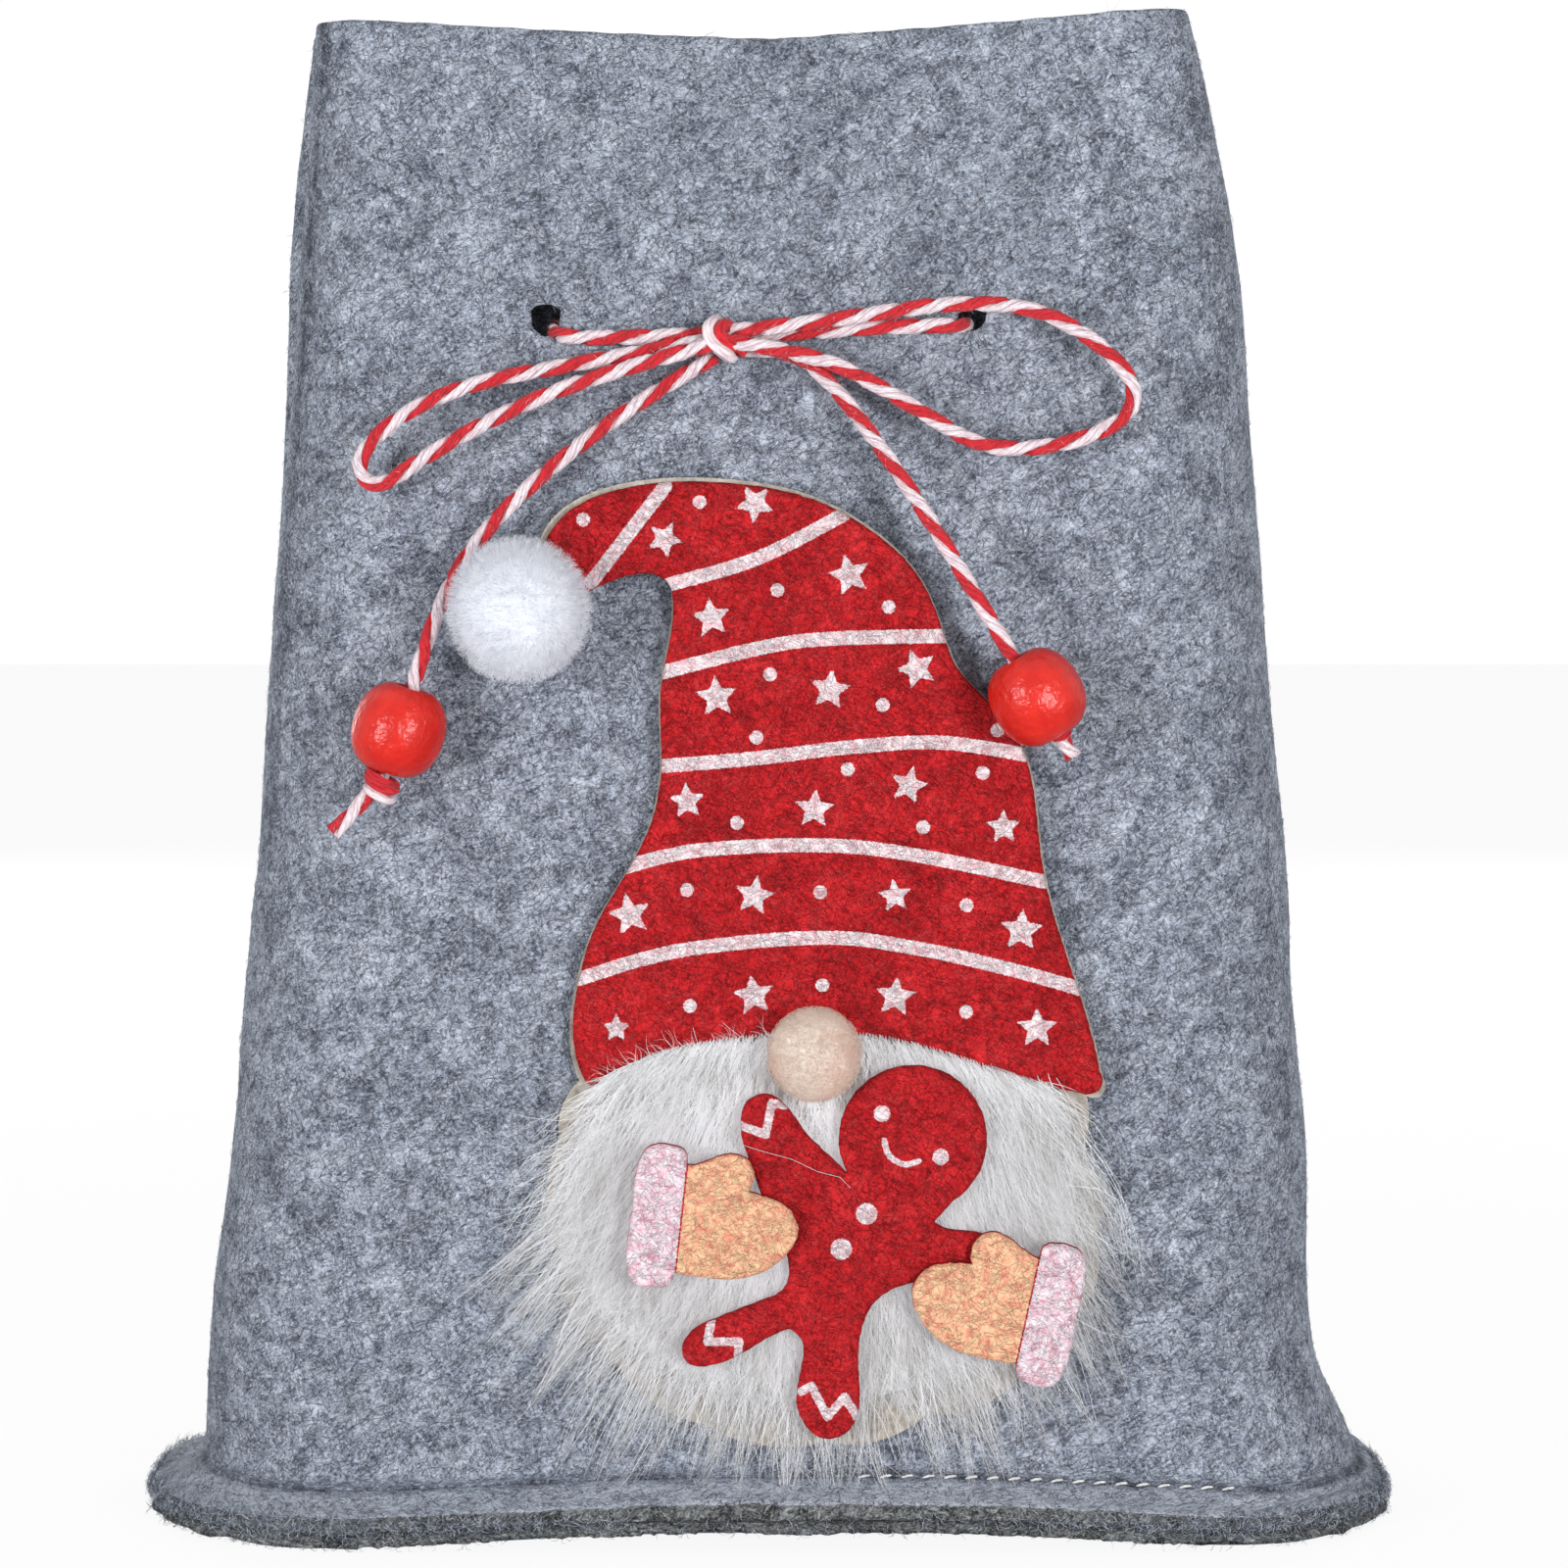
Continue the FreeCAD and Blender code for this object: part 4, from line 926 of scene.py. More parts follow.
NOSE = np.mean(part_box("nose"), axis=0) / MM
FUR_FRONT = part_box("beard")[0][1] / MM
BOARD_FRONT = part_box("gnome_board")[0][1] / MM


def about_nose(places):
    """Places in the front view, measured from the middle of the nose."""
    return places - NOSE[[0, 2]]


def inside(points, outline):
    """Which points lie inside a closed outline."""
    x, z = points[:, 0, None], points[:, 1, None]
    ax, az = outline[:, 0], outline[:, 1]
    bx, bz = np.roll(ax, -1), np.roll(az, -1)
    crossing = ((az > z) != (bz > z)) & (x < (bx - ax) * (z - az) / (bz - az + 1e-12) + ax)
    return crossing.sum(axis=1) % 2 == 1


def distance(points, line, closed=False):
    """The distance of each point from a line of points."""
    starts, ends = (line, np.roll(line, -1, axis=0)) if closed else (line[:-1], line[1:])
    nearest = np.full(len(points), 1e9)
    for a, b in zip(starts, ends):
        way = b - a
        share = np.clip(((points - a) @ way) / (way @ way + 1e-12), 0, 1)
        nearest = np.minimum(nearest, np.linalg.norm(points - a - share[:, None] * way, axis=1))
    return nearest


def node_outline(node, step=0.45):
    """The outline of a flat piece in the front view, anticlockwise, as even points in millimetres."""
    shape = bmesh.new()
    shape.from_mesh(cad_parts[node].data)
    bmesh.ops.remove_doubles(shape, verts=shape.verts[:], dist=1e-6)
    front = min(vertex.co.y for vertex in shape.verts)
    on_front = {v for v in shape.verts if v.co.y - front < 1e-5}
    faces = {f for f in shape.faces if all(v in on_front for v in f.verts)}
    after = {}
    for face in faces:
        for loop in face.loops:
            if any(other not in faces for other in loop.edge.link_faces):
                after[loop.vert] = loop.link_loop_next.vert
    start = min(after, key=lambda v: (v.co.x, v.co.z))
    corners, at = [], start
    while True:
        corners.append((at.co.x / MM, at.co.z / MM))
        at = after[at]
        if at is start:
            break
    shape.free()
    corners = np.array(corners + corners[:1])
    run = run_along(corners)
    even = np.linspace(0, run[-1], int(run[-1] / step) + 1)[:-1]
    line = np.stack([np.interp(even, run, corners[:, axis]) for axis in range(2)], axis=1)
    area = np.sum(line[:, 0] * np.roll(line[:, 1], -1) - np.roll(line[:, 0], -1) * line[:, 1])
    return line if area > 0 else line[::-1]


def outline_normals(line):
    """The way out of a closed outline at each of its points."""
    ahead = unit(np.roll(line, -1, axis=0) - np.roll(line, 1, axis=0))
    return np.stack([ahead[:, 1], -ahead[:, 0]], axis=1)


def sheet_piece(name, node, spacing, ragged, wave, crown=0.3, prints=None, grow=0.0):
    """A piece cut from sheet, as thick as its CAD node, with rounded edges and a slightly uneven face."""
    low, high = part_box(node)[0][1] / MM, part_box(node)[1][1] / MM
    line = node_outline(node)
    out = outline_normals(line)
    rough = np.array([wander(x / 1.1, z / 1.1, 3.0) + 0.6 * wander(x / 0.5, z / 0.5, 9.0) for x, z in line])
    line = line + out * (grow + rough * ragged)[:, None]
    count = len(line)
    inner = line - out * 0.28
    across = np.arange(line[:, 0].min(), line[:, 0].max(), spacing)
    upward = np.arange(line[:, 1].min(), line[:, 1].max(), spacing)
    grid = np.stack(np.meshgrid(across, upward), axis=-1).reshape(-1, 2)
    grid = grid + np.where(np.round(grid[:, 1:] / spacing) % 2 == 0, 0.25, -0.25) * (spacing, 0)
    grid = grid[inside(grid, inner)]
    grid = grid[distance(grid, inner, closed=True) > 0.45 * spacing]
    flat = np.concatenate([inner, grid])
    ring = [list(range(count))]
    points, _, faces, *_ = geometry.delaunay_2d_cdt([Vector(p) for p in flat], [], ring, 1, 1e-6)
    points = np.array([tuple(p) for p in points])
    depth = distance(points, line, closed=True)
    surface = np.array([wander(x / 6, z / 6, 1.0) + 0.5 * wander(x / 1.6, z / 1.6, 7.0) for x, z in points])
    face_y = low + crown * np.exp(-depth / 0.5) + wave * (1 - np.abs(surface))
    front = np.column_stack([points[:, 0], face_y, points[:, 1]])
    total = len(front)
    rings = []
    for step_in, y in ((0.0, low + 0.32 * (high - low)), (-0.05, high - 0.22), (0.18, high)):
        edge = line - out * step_in
        rings.append(np.column_stack([edge[:, 0], np.full(count, y), edge[:, 1]]))
    back = [Vector(p) for p in rings[-1][:, [0, 2]]]
    _, _, back_faces, *_ = geometry.delaunay_2d_cdt(back, [], ring, 1, 1e-6)
    vertices = np.concatenate([front] + rings)
    polygons = [tuple(face[::-1]) for face in faces]
    starts = [0, total, total + count, total + 2 * count]
    for a, b in zip(starts, starts[1:]):
        for k in range(count):
            n = (k + 1) % count
            polygons.append((a + n, a + k, b + k, b + n))
    polygons += [tuple(starts[-1] + k for k in face) for face in back_faces]
    mesh = smooth_mesh(name, (vertices * MM).tolist(), polygons)
    shape = bmesh.new()
    shape.from_mesh(mesh)
    close_shape(shape, mesh)
    lay_map(mesh, "felt", [(v.co.x + 0.7 * v.co.y, v.co.z + 0.5 * v.co.y) for v in mesh.vertices])
    for attribute, printed in (prints or {}).items():
        values = np.full(len(vertices), -1.0, np.float32)
        values[:total] = printed(points)
        values[total:total + count] = printed(line)
        give_values(mesh, attribute, values)
    return mesh, line


def glow_softly(shader, tone, strength):
    """Light scatters from hair to hair in white pile, and a faint emission stands in for it."""
    feed(shader, "Emission Color", tone)
    shader.inputs["Emission Strength"].default_value = strength


undercoat, undercoat_shader, undercoat_link = new_finish("fur_undercoat", roughness=0.95, specular=0.1)
undercoat_place = undercoat_link.on_object()
combing = {"Vector": undercoat_place, "Scale": (1.0, 1.0, 0.16)}
combed = undercoat_place.node("ShaderNodeMapping", None, combing)
pile = combed.noise(900.0, detail=4.0, roughness=0.7)
# partly painted shade: the darker streaks of the undercoat stand for the shade in the gaps between the
# tufts
undercoat_tone = pile.between(0.36, 0.64).mix(rgb(176, 173, 172), rgb(240, 239, 240))
feed(undercoat_shader, "Base Color", undercoat_tone)
glow_softly(undercoat_shader, undercoat_tone, 0.10)
raise_relief(undercoat_shader, pile, 0.0008, 0.8)

fur, fur_shader, fur_link = new_finish("faux_fur", roughness=0.6, specular=0.25)
tone = fur_link.value("tone")
fur_stops = [(0.0, rgb(138, 135, 132)), (0.4, rgb(196, 195, 195)), (0.75, rgb(244, 245, 248))]
fur_colour = tone.ramp(fur_stops)
feed(fur_shader, "Base Color", fur_colour)
glow_softly(fur_shader, fur_colour, 0.20)

# the pad under the pile is smaller and half as thick as the CAD's, which holds the pile as well
PAD_SHRINK, PAD_THICKNESS = np.array((0.90, 0.86)), 0.5
pad_mesh, pad_line = sheet_piece("beard_pad", "beard", 1.2, 0.35, 0.25, crown=1.6)
pad_top = np.array(((pad_line[:, 0].min() + pad_line[:, 0].max()) / 2, pad_line[:, 1].max()))
pad_line = pad_top + (pad_line - pad_top) * PAD_SHRINK
for vertex in pad_mesh.vertices:
    share = (vertex.co.y / MM - BOARD_FRONT) / (FUR_FRONT - BOARD_FRONT)
    x, z = pad_top + (np.array((vertex.co.x, vertex.co.z)) / MM - pad_top) * PAD_SHRINK
    vertex.co = Vector((x, BOARD_FRONT + share * PAD_THICKNESS * (FUR_FRONT - BOARD_FRONT), z)) * MM
pad = add_piece("beard_pad", pad_mesh, "fur", undercoat, node="beard")


def comb(about):
    """The way the pile lies at a place about the nose: down, and outwards the further out it is."""
    spread = np.where(about[:, 0] < 0, 0.027, 0.016) * about[:, 0]
    return unit(np.stack([spread, -np.ones(len(about))], axis=1))


HAIR_TAPER = np.array([1.0, 0.95, 0.8, 0.6, 0.25])
HAIR_POINTS = len(HAIR_TAPER)


def hair_lines(roots, tips, root_y, tip_y, lift, bend):
    """Hairs from their roots to their tips, which rise in the middle and bend to one side."""
    lines = np.zeros((len(roots), HAIR_POINTS, 3))
    ahead = tips - roots
    side = np.stack([-ahead[:, 1], ahead[:, 0]], axis=1)
    for k, share in enumerate(np.linspace(0, 1, HAIR_POINTS)):
        place = roots + ahead * share + side * bend[:, None] * math.sin(math.pi * share)
        lines[:, k, 0], lines[:, k, 2] = place[:, 0], place[:, 1]
        lines[:, k, 1] = root_y * (1 - share) + tip_y * share - lift * math.sin(math.pi * share ** 0.8)
    return lines


def tapering(count, finest, thickest):
    return dice.uniform(finest, thickest, (count, 1)) * HAIR_TAPER[None]


def shading(count, darkest, palest):
    return np.repeat(dice.uniform(darkest, palest, (count, 1)), HAIR_POINTS, axis=1)


def pad_places(count, margin):
    """Random places on the pad, and how far each is from its edge; none nearer to it than the margin."""
    places = dice.uniform(pad_line.min(axis=0), pad_line.max(axis=0), (count * 3, 2))
    places = places[inside(places, pad_line)]
    inward = distance(places, pad_line, closed=True)
    kept = inward > margin
    return places[kept][:count], inward[kept][:count]


def tuft_lines(tufts, hairs, reach, spreads, margin, shade, width, over_rim=False):
    """Pile in tufts, whose hairs start apart and come together at their tips.

    Over the rim of the pad the tufts are longer, and each hair lies down on the board past it.
    """
    centres, inward = pad_places(tufts * (3 if over_rim else 1), margin)
    if over_rim:
        order = np.argsort(inward + dice.uniform(0, 13, len(inward)))
        centres, inward = centres[order[:tufts]], inward[order[:tufts]]
        low = centres[:, 1] < NOSE[2] - 4
        centres, inward = centres[low], inward[low]
    about = about_nose(centres)
    ways = unit(comb(about) + dice.normal(0, 0.07 if over_rim else 0.15, centres.shape))
    lengths = dice.uniform(*reach, len(centres))
    if not over_rim:
        # the pile is clipped shorter towards the rim
        lengths *= np.clip(0.30 + inward / 15, 0.30, 1)
    # it is palest in the middle, under the nose
    middle = 0.42 * np.exp(-np.linalg.norm((about + (0, 8)) / (22, 24), axis=1) ** 2)
    tuft_shade = shade + middle + dice.normal(0, 0.09, len(centres))
    which = np.repeat(np.arange(len(centres)), hairs)
    count = len(which)
    roots = centres[which] + dice.normal(0, spreads[0], (count, 2))
    share = dice.uniform(0.55, 1.08, count)
    tips = centres[which] + ways[which] * (lengths[which] * share)[:, None]
    tips = tips + dice.normal(0, spreads[1], (count, 2))
    beyond = distance(tips, pad_line, closed=True) * np.where(inside(tips, pad_line), -1, 1)
    past = np.clip(beyond / 4, 0, 1)
    lie = dice.uniform(0.1, 1.2, count)
    root_y = BOARD_FRONT - dice.uniform(0.8, 1.7, count)
    tip_y = (FUR_FRONT + 1.1 - lie) * (1 - past) + (BOARD_FRONT - lie * 0.5 + 0.2) * past
    bend = dice.normal(0, 0.04, len(centres))[which] + dice.normal(0, 0.025, count)
    lines = hair_lines(roots, tips, root_y, tip_y, 0.5 * lie, bend)
    hair_shade = tuft_shade[which] + dice.normal(0, 0.13, count)
    shades = np.clip(hair_shade[:, None] + np.linspace(-0.12, 0.08, HAIR_POINTS), 0, 1)
    return lines, tapering(count, 0.8 * width, 1.3 * width), shades


# how far in front of the board the hairs start under the brim, inside the hat's thickness
HAT_MIDDLE = 1.75
BRIM = node_outline("hat")
BRIM = BRIM[(outline_normals(BRIM)[:, 1] < -0.6) & (BRIM[:, 1] < NOSE[2] + 8)]
BRIM = BRIM[(BRIM[:, 0] > BRIM[:, 0].min() + 2.5) & (BRIM[:, 0] < BRIM[:, 0].max() - 7)]


def brim_lines(count):
    """Hairs that start under the brim and fall over the top of the pad, and round the nose."""
    roots = BRIM[dice.integers(0, len(BRIM), count)] + (0.0, 1.0) * dice.uniform(-0.9, 0.3, (count, 1))
    about = about_nose(roots)
    ways = unit(comb(about) + about * 0.012 + dice.normal(0, 0.24, (count, 2)))
    tips = roots + ways * 3.0 * dice.lognormal(0.45, 0.45, (count, 1))
    root_y = BOARD_FRONT - HAT_MIDDLE
    tip_y = FUR_FRONT + 0.8 - dice.uniform(0, 0.7, count)
    lines = hair_lines(roots, tips, root_y, tip_y, 0.25, dice.normal(0, 0.05, count))
    return lines, tapering(count, 0.09, 0.14), shading(count, 0.3, 0.95)


def upturned_lines(count):
    """Fine hairs that stray from the top of the pad up over the brim, most of them on the left."""
    left = BRIM[BRIM[:, 0] < NOSE[0] - 5]
    roots = left[dice.integers(0, len(left), count)] - (0.0, 1.0) * dice.uniform(0.0, 1.5, (count, 1))
    ways = unit(dice.normal(0, 0.45, (count, 2)) + (-0.75, 0.75))
    tips = roots + ways * dice.uniform(1.0, 3.8, (count, 1))
    tip_y = FUR_FRONT + 1.0 - dice.uniform(0, 0.7, count)
    lines = hair_lines(roots, tips, FUR_FRONT + 1.2, tip_y, 0.3, dice.normal(0, 0.18, count))
    return lines, tapering(count, 0.04, 0.06), shading(count, 0.6, 1.0)


def stray_lines(count):
    """Single long hairs that lie across the beard's rim and onto the bag, each its own way."""
    roots = pad_line[dice.integers(0, len(pad_line), count)]
    odds = np.where(roots[:, 0] < NOSE[0], 1.0, 0.6)
    roots = roots[(roots[:, 1] < NOSE[2] - 6) & (dice.random(count) < odds)]
    count = len(roots)
    about = about_nose(roots)
    ways = unit(comb(about) + dice.normal(0, 0.30, (count, 2)) + about * 0.004)
    length = dice.uniform(4, 15, count)
    roots = roots - ways * 3
    tips = roots + ways * (length + 3)[:, None]
    tip_y = BOARD_FRONT + 1.2 - dice.uniform(0, 1, count)
    lines = hair_lines(roots, tips, FUR_FRONT + 1.2, tip_y, 0.5, dice.normal(0, 0.14, count))
    return lines, tapering(count, 0.07, 0.11), shading(count, 0.4, 1.0)


PILE = [
    tuft_lines(610, 12, (9.0, 15.0), (2.0, 1.0), 1.0, 0.46, 0.08),
    tuft_lines(610, 12, (8.0, 14.0), (2.0, 1.0), 1.0, 0.48, 0.06),
    tuft_lines(270, 13, (13.0, 24.0), (1.5, 0.4), 0.3, 0.49, 0.07, over_rim=True),
    brim_lines(2400),
    upturned_lines(110),
    stray_lines(1700),
]
LOWEST_HAIR = 6.0
for i, (lines, widths, shades) in enumerate(PILE):
    lines[..., 2] = np.maximum(lines[..., 2], LOWEST_HAIR)
    name = f"beard_pile_{i + 1}"
    add_piece(name, strands(name, lines, widths, shades), "fur", fur)


# ---------------------------------------------------------------- gnome: hat
# Red needle felt, 2 mm thick, cut with the board and screen printed in white with stripes, stars and
# dots. The ink lies on the fibres, so that the red shows through it in pink.

# stripes as lines of places about the nose, and half their width
HALF_STRIPE = 0.98
STRIPES = [
    [(-20.5, 77.9), (-25.6, 71.3), (-30.7, 64.7)],
    [(-19.9, 64.4), (-8.0, 67.9), (3.9, 73.9)],
    [(-21.6, 52.1), (-7.2, 55.7), (2.1, 56.9), (18.6, 57.3)],
    [(-21.6, 39.3), (-8.4, 40.4), (5.3, 42.0), (17.5, 42.6), (29.2, 40.9)],
    [(-26.8, 25.2), (-16.0, 27.7), (1.2, 28.4), (14.2, 27.0), (32.0, 23.3)],
    [(-33.4, 9.6), (-18.6, 13.8), (1.2, 15.6), (14.2, 14.1), (27.1, 11.2), (37.0, 8.4)],
]
# stars: place about the nose, width, and turn in degrees
STARS = [
    (-20.6, 70.6, 5.2, 190), (-8.2, 75.5, 5.6, 175), (4.8, 65.7, 6.0, 158), (-14.2, 59.8, 5.6, 8),
    (14.1, 52.8, 5.8, 20), (-13.5, 48.9, 5.9, 5), (2.1, 49.9, 5.8, -8), (-17.6, 34.5, 5.2, 4),
    (0.0, 33.4, 5.6, -4), (13.0, 36.7, 5.4, -14), (26.1, 30.9, 5.0, 2), (-25.5, 18.8, 6.1, 12),
    (-8.3, 21.4, 5.7, -10), (11.1, 21.4, 4.8, 6), (28.6, 16.6, 6.1, -4), (-27.4, 3.0, 4.2, 0),
    (-8.4, 7.6, 5.9, 8), (11.2, 7.4, 5.8, -6), (30.8, 3.0, 5.8, 0),
]
DOT = 1.95
DOTS = [
    (-31.8, 73.3), (-15.8, 75.7), (-5.1, 63.6), (10.2, 61.3), (-6.1, 52.0), (9.4, 47.8), (-8.0, 43.3),
    (25.2, 44.3), (4.6, 38.9), (23.2, 38.4), (-10.7, 31.5), (15.0, 30.9), (-17.6, 22.2), (0.8, 21.9),
    (21.0, 20.1), (-17.2, 6.1), (1.1, 9.0), (21.0, 5.3),
]


def star(points, x, z, width, degrees):
    """How deep each point lies inside a five-pointed star, in millimetres; negative outside."""
    away = points - (x, z)
    reach = np.linalg.norm(away, axis=1)
    sector = 2 * math.pi / 5
    angle = np.arctan2(away[:, 0], away[:, 1]) + math.radians(degrees)
    folded = np.abs((angle + sector / 2) % sector - sector / 2)
    tip = np.array((0.0, width * 0.526))
    notch = 0.235 * width * np.array((math.sin(sector / 2), math.cos(sector / 2)))
    spot = reach[:, None] * np.stack([np.sin(folded), np.cos(folded)], axis=1)
    way = (notch - tip) / np.linalg.norm(notch - tip)
    return -((spot - tip) @ np.array((-way[1], way[0])))


def dot(points, x, z, width):
    """How deep each point lies inside a round."""
    return width / 2 - np.linalg.norm(points - (x, z), axis=1)


def smooth_line(points, steps=12):
    """A smooth line through a few points."""
    padded = [points[0]] + list(points) + [points[-1]]
    line = []
    for a, b, c, d in zip(padded, padded[1:], padded[2:], padded[3:]):
        a, b, c, d = (np.array(p) for p in (a, b, c, d))
        for t in np.linspace(0, 1, steps)[:-1]:
            line.append(0.5 * (2 * b + (c - a) * t + (2 * a - 5 * b + 4 * c - d) * t ** 2
                               + (3 * b - a - 3 * c + d) * t ** 3))
    return np.array(line + [np.array(points[-1])])


def hat_print(points):
    """How deep each point lies inside the hat's print, in millimetres; negative outside."""
    about = about_nose(points)
    depth = np.full(len(points), -1.0)
    for stripe in STRIPES:
        depth = np.maximum(depth, HALF_STRIPE - distance(about, smooth_line(stripe)))
    for x, z, width, degrees in STARS:
        depth = np.maximum(depth, star(about, x, z, width, degrees))
    for x, z in DOTS:
        depth = np.maximum(depth, dot(about, x, z, DOT))
    return np.clip(depth, -1.0, 1.0)


RED_STOPS = [
    (0.36, rgb(126, 20, 26)),
    (0.46, rgb(176, 28, 34)),
    (0.54, rgb(208, 40, 46)),
    (0.66, rgb(228, 66, 70)),
]


def ink_over(material, attribute, ink, worn, cover):
    """Prints ink over a felt finish wherever the attribute says that the point lies inside the print."""
    tree = material.node_tree
    shader = tree.nodes["Principled BSDF"]
    link = Link(tree)
    felt_colour = Link(tree, shader.inputs["Base Color"].links[0].from_socket)
    place = link.on_map("felt")
    depth = link.value(attribute)
    torn = place.noise(2600.0, detail=2.0) - 0.5
    edge = (depth + torn * 0.4).between(-0.05, 0.09)
    thick = place.noise(760.0, detail=5.0, roughness=0.75).between(0.36, 0.58)
    holes = place.noise(2300.0, detail=3.0, roughness=0.75).between(0.32, 0.50)
    shown = thick.mix(worn, ink)
    feed(shader, "Base Color", (edge * (cover + holes * (1 - cover))).mix(felt_colour, shown))


def red_felt(name):
    return needle_felt(name, RED_STOPS, rgb(222, 84, 86), rgb(104, 16, 22), 0.22, 0.30)


hat_felt = red_felt("hat_felt")
ink_over(hat_felt, "print", rgb(250, 240, 244), rgb(238, 190, 198), 0.70)
hat_mesh, _ = sheet_piece("hat_felt", "hat", 0.42, 0.09, 0.12, prints={"print": hat_print}, grow=0.3)
hat = add_piece("hat_felt", hat_mesh, "red_felt", hat_felt, node="hat")


# ---------------------------------------------------------------- gnome: nose
# A ball of wool roving, rolled hard and glued onto the brim. It is peach, a little browner in places,
# and its surface stays fuzzy.


def lumpy_ball(name, node, finish, inset, coarse, fine):
    """A padded ball in place of its CAD node, inset under its fuzz, with coarse and fine lumps."""
    low, high = [np.array(corner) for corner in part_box(node)]
    centre, radius = Vector((low + high) / 2), float((high - low).min() / 2)
    bpy.ops.object.select_all(action="DESELECT")
    bpy.ops.mesh.primitive_ico_sphere_add(subdivisions=6, radius=radius, location=centre)
    bpy.ops.object.transform_apply(location=True, rotation=True, scale=True)
    ball = bpy.context.object
    ball.name = name
    for vertex in ball.data.vertices:
        way = (vertex.co - centre).normalized()
        swell = coarse * wander(*(way * 1.6)) + fine * wander(*(way * 7)) - inset
        vertex.co = centre + way * (radius + swell * MM)
    bpy.ops.object.shade_smooth()
    ball.data.materials.append(finish)
    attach(ball, "bag")
    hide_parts(node)
    return np.array(centre) / MM, radius / MM


def ball_fuzz(name, centre, radius, count, length, width, lean, rise, pressed_by=None):
    """Short fibres all over a ball, which lean over on its surface; a bead's path presses those near it."""
    way = unit(dice.normal(size=(count, 3)))
    aside = unit(np.cross(way, dice.normal(size=(count, 3))))
    reach = length * dice.uniform(0.5, 1.2, (count, 1))
    if pressed_by is not None:
        reach[distance(centre + way * (radius + reach), pressed_by) < BEAD_ROOM] *= PRESSED
    lines = np.zeros((count, 3, 3))
    for k, share in enumerate((0.0, 0.5, 1.0)):
        out = radius - 0.15 + reach * rise * math.sin(share * math.pi * 0.62)
        lines[:, k] = centre + way * out + aside * reach * lean * share ** 1.3
    widths = width * dice.uniform(0.7, 1.2, (count, 1)) * np.array([1.0, 0.85, 0.3])[None]
    shades = np.repeat(dice.uniform(0.2, 1.0, (count, 1)), 3, axis=1)
    return strands(name, lines, widths, shades)


nose_wool, nose_shader, nose_link = new_finish("nose_wool", roughness=0.95, specular=0.12)
nose_place = nose_link.on_object()
wool = nose_place.noise(1500.0, detail=5.0, roughness=0.75, distortion=1.0)
blush = nose_place.noise(140.0, detail=2.0).between(0.4, 0.65)
nose_tone = blush.mix(rgb(255, 231, 214), rgb(251, 213, 195))
nose_colour = (wool.between(0.36, 0.62) * 0.6).mix(nose_tone, rgb(255, 248, 236))
feed(nose_shader, "Base Color", nose_colour)
glow_softly(nose_shader, nose_tone, 0.14)
raise_relief(nose_shader, wool, 0.0007, 1.0)
nose_centre, nose_radius = lumpy_ball("nose_ball", "nose", nose_wool, 0.15, 0.28, 0.10)
nose_fuzz = ball_fuzz("nose_fuzz", nose_centre, nose_radius, 4200, 1.2, 0.06, 0.8, 0.42)
add_piece("nose_fuzz", nose_fuzz, "nose_wool", nose_wool)


# ---------------------------------------------------------------- gnome: pompom
# A white craft pompom of short acrylic fluff, clipped to a ball and glued to the tip of the hat. The
# left bead passes close by it, and its fluff is pressed down there.

# the bead's middle at rest, the way that it slides and how far, and the room that it needs round its path
LEFT_BEAD = np.array((-50.9, -36.7, 114.1))
LEFT_WAY = np.array((0.31, 0.0, 0.9507))
LEFT_SLIDE = 9.0
BEAD_ROOM = 6.8
# the share of their length that tufts keep where the bead presses them
PRESSED = 0.35

fluff, fluff_shader, fluff_link = new_finish("pompom_fluff", roughness=0.95, specular=0.1)
fluff_place = fluff_link.on_object()
flock = fluff_place.noise(700.0, detail=4.0, roughness=0.7)
fluff_tone = flock.between(0.35, 0.62).mix(rgb(226, 229, 237), rgb(240, 242, 249))
feed(fluff_shader, "Base Color", fluff_tone)
glow_softly(fluff_shader, fluff_tone, 0.10)
raise_relief(fluff_shader, flock, 0.0006, 0.6)
ball_middle, ball_radius = lumpy_ball("pompom_ball", "pompom", fluff, 0.85, 0.3, 0.12)
left_path = np.array([LEFT_BEAD, LEFT_BEAD + LEFT_WAY * LEFT_SLIDE])
# the tufts' roots lie this deep, so that their tips reach to the ball's size
ROOT_DEPTH = 0.95
tufts = ball_fuzz(
    "pompom_tufts", ball_middle, ball_radius - ROOT_DEPTH, 13500, 2.2, 0.045, 0.4, 0.85, left_path
)
add_piece("pompom_tufts", tufts, "pompom_fluff", fluff)


# ---------------------------------------------------------------- gnome: gingerbread man
# Red felt again, glued on the beard, with a smile, two buttons and a zigzag of icing on three limbs,
# printed in white.

# all places are about the nose; the rounds are two buttons and two eyes, with their widths
HALF_ICING, HALF_SMILE = 0.60, 0.42
ICING = [
    [(-10.4, -10.0), (-6.7, -11.3), (-5.9, -7.0), (-3.2, -7.3)],
    [(-17.7, -36.6), (-14.1, -36.5), (-14.8, -40.1), (-10.4, -40.1), (-10.6, -42.7)],
    [(-1.9, -47.1), (-0.4, -46.3), (1.8, -50.6), (4.2, -47.8), (6.2, -51.1)],
]
SMILE = [(9.6, -12.1), (10.3, -14.2), (12.3, -15.4), (14.4, -15.0)]
ROUNDS = [(7.2, -22.3, 3.0), (3.7, -27.2, 3.0), (9.3, -8.4, 2.3), (17.4, -14.4, 2.3)]


def icing_print(points):
    """How deep each point lies inside the smile, the icing, the eyes and the buttons."""
    about = about_nose(points)
    depth = HALF_SMILE - distance(about, smooth_line(SMILE))
    for zigzag in ICING:
        depth = np.maximum(depth, HALF_ICING - distance(about, np.array(zigzag)))
    for x, z, width in ROUNDS:
        depth = np.maximum(depth, dot(about, x, z, width))
    return np.clip(depth, -1.0, 1.0)


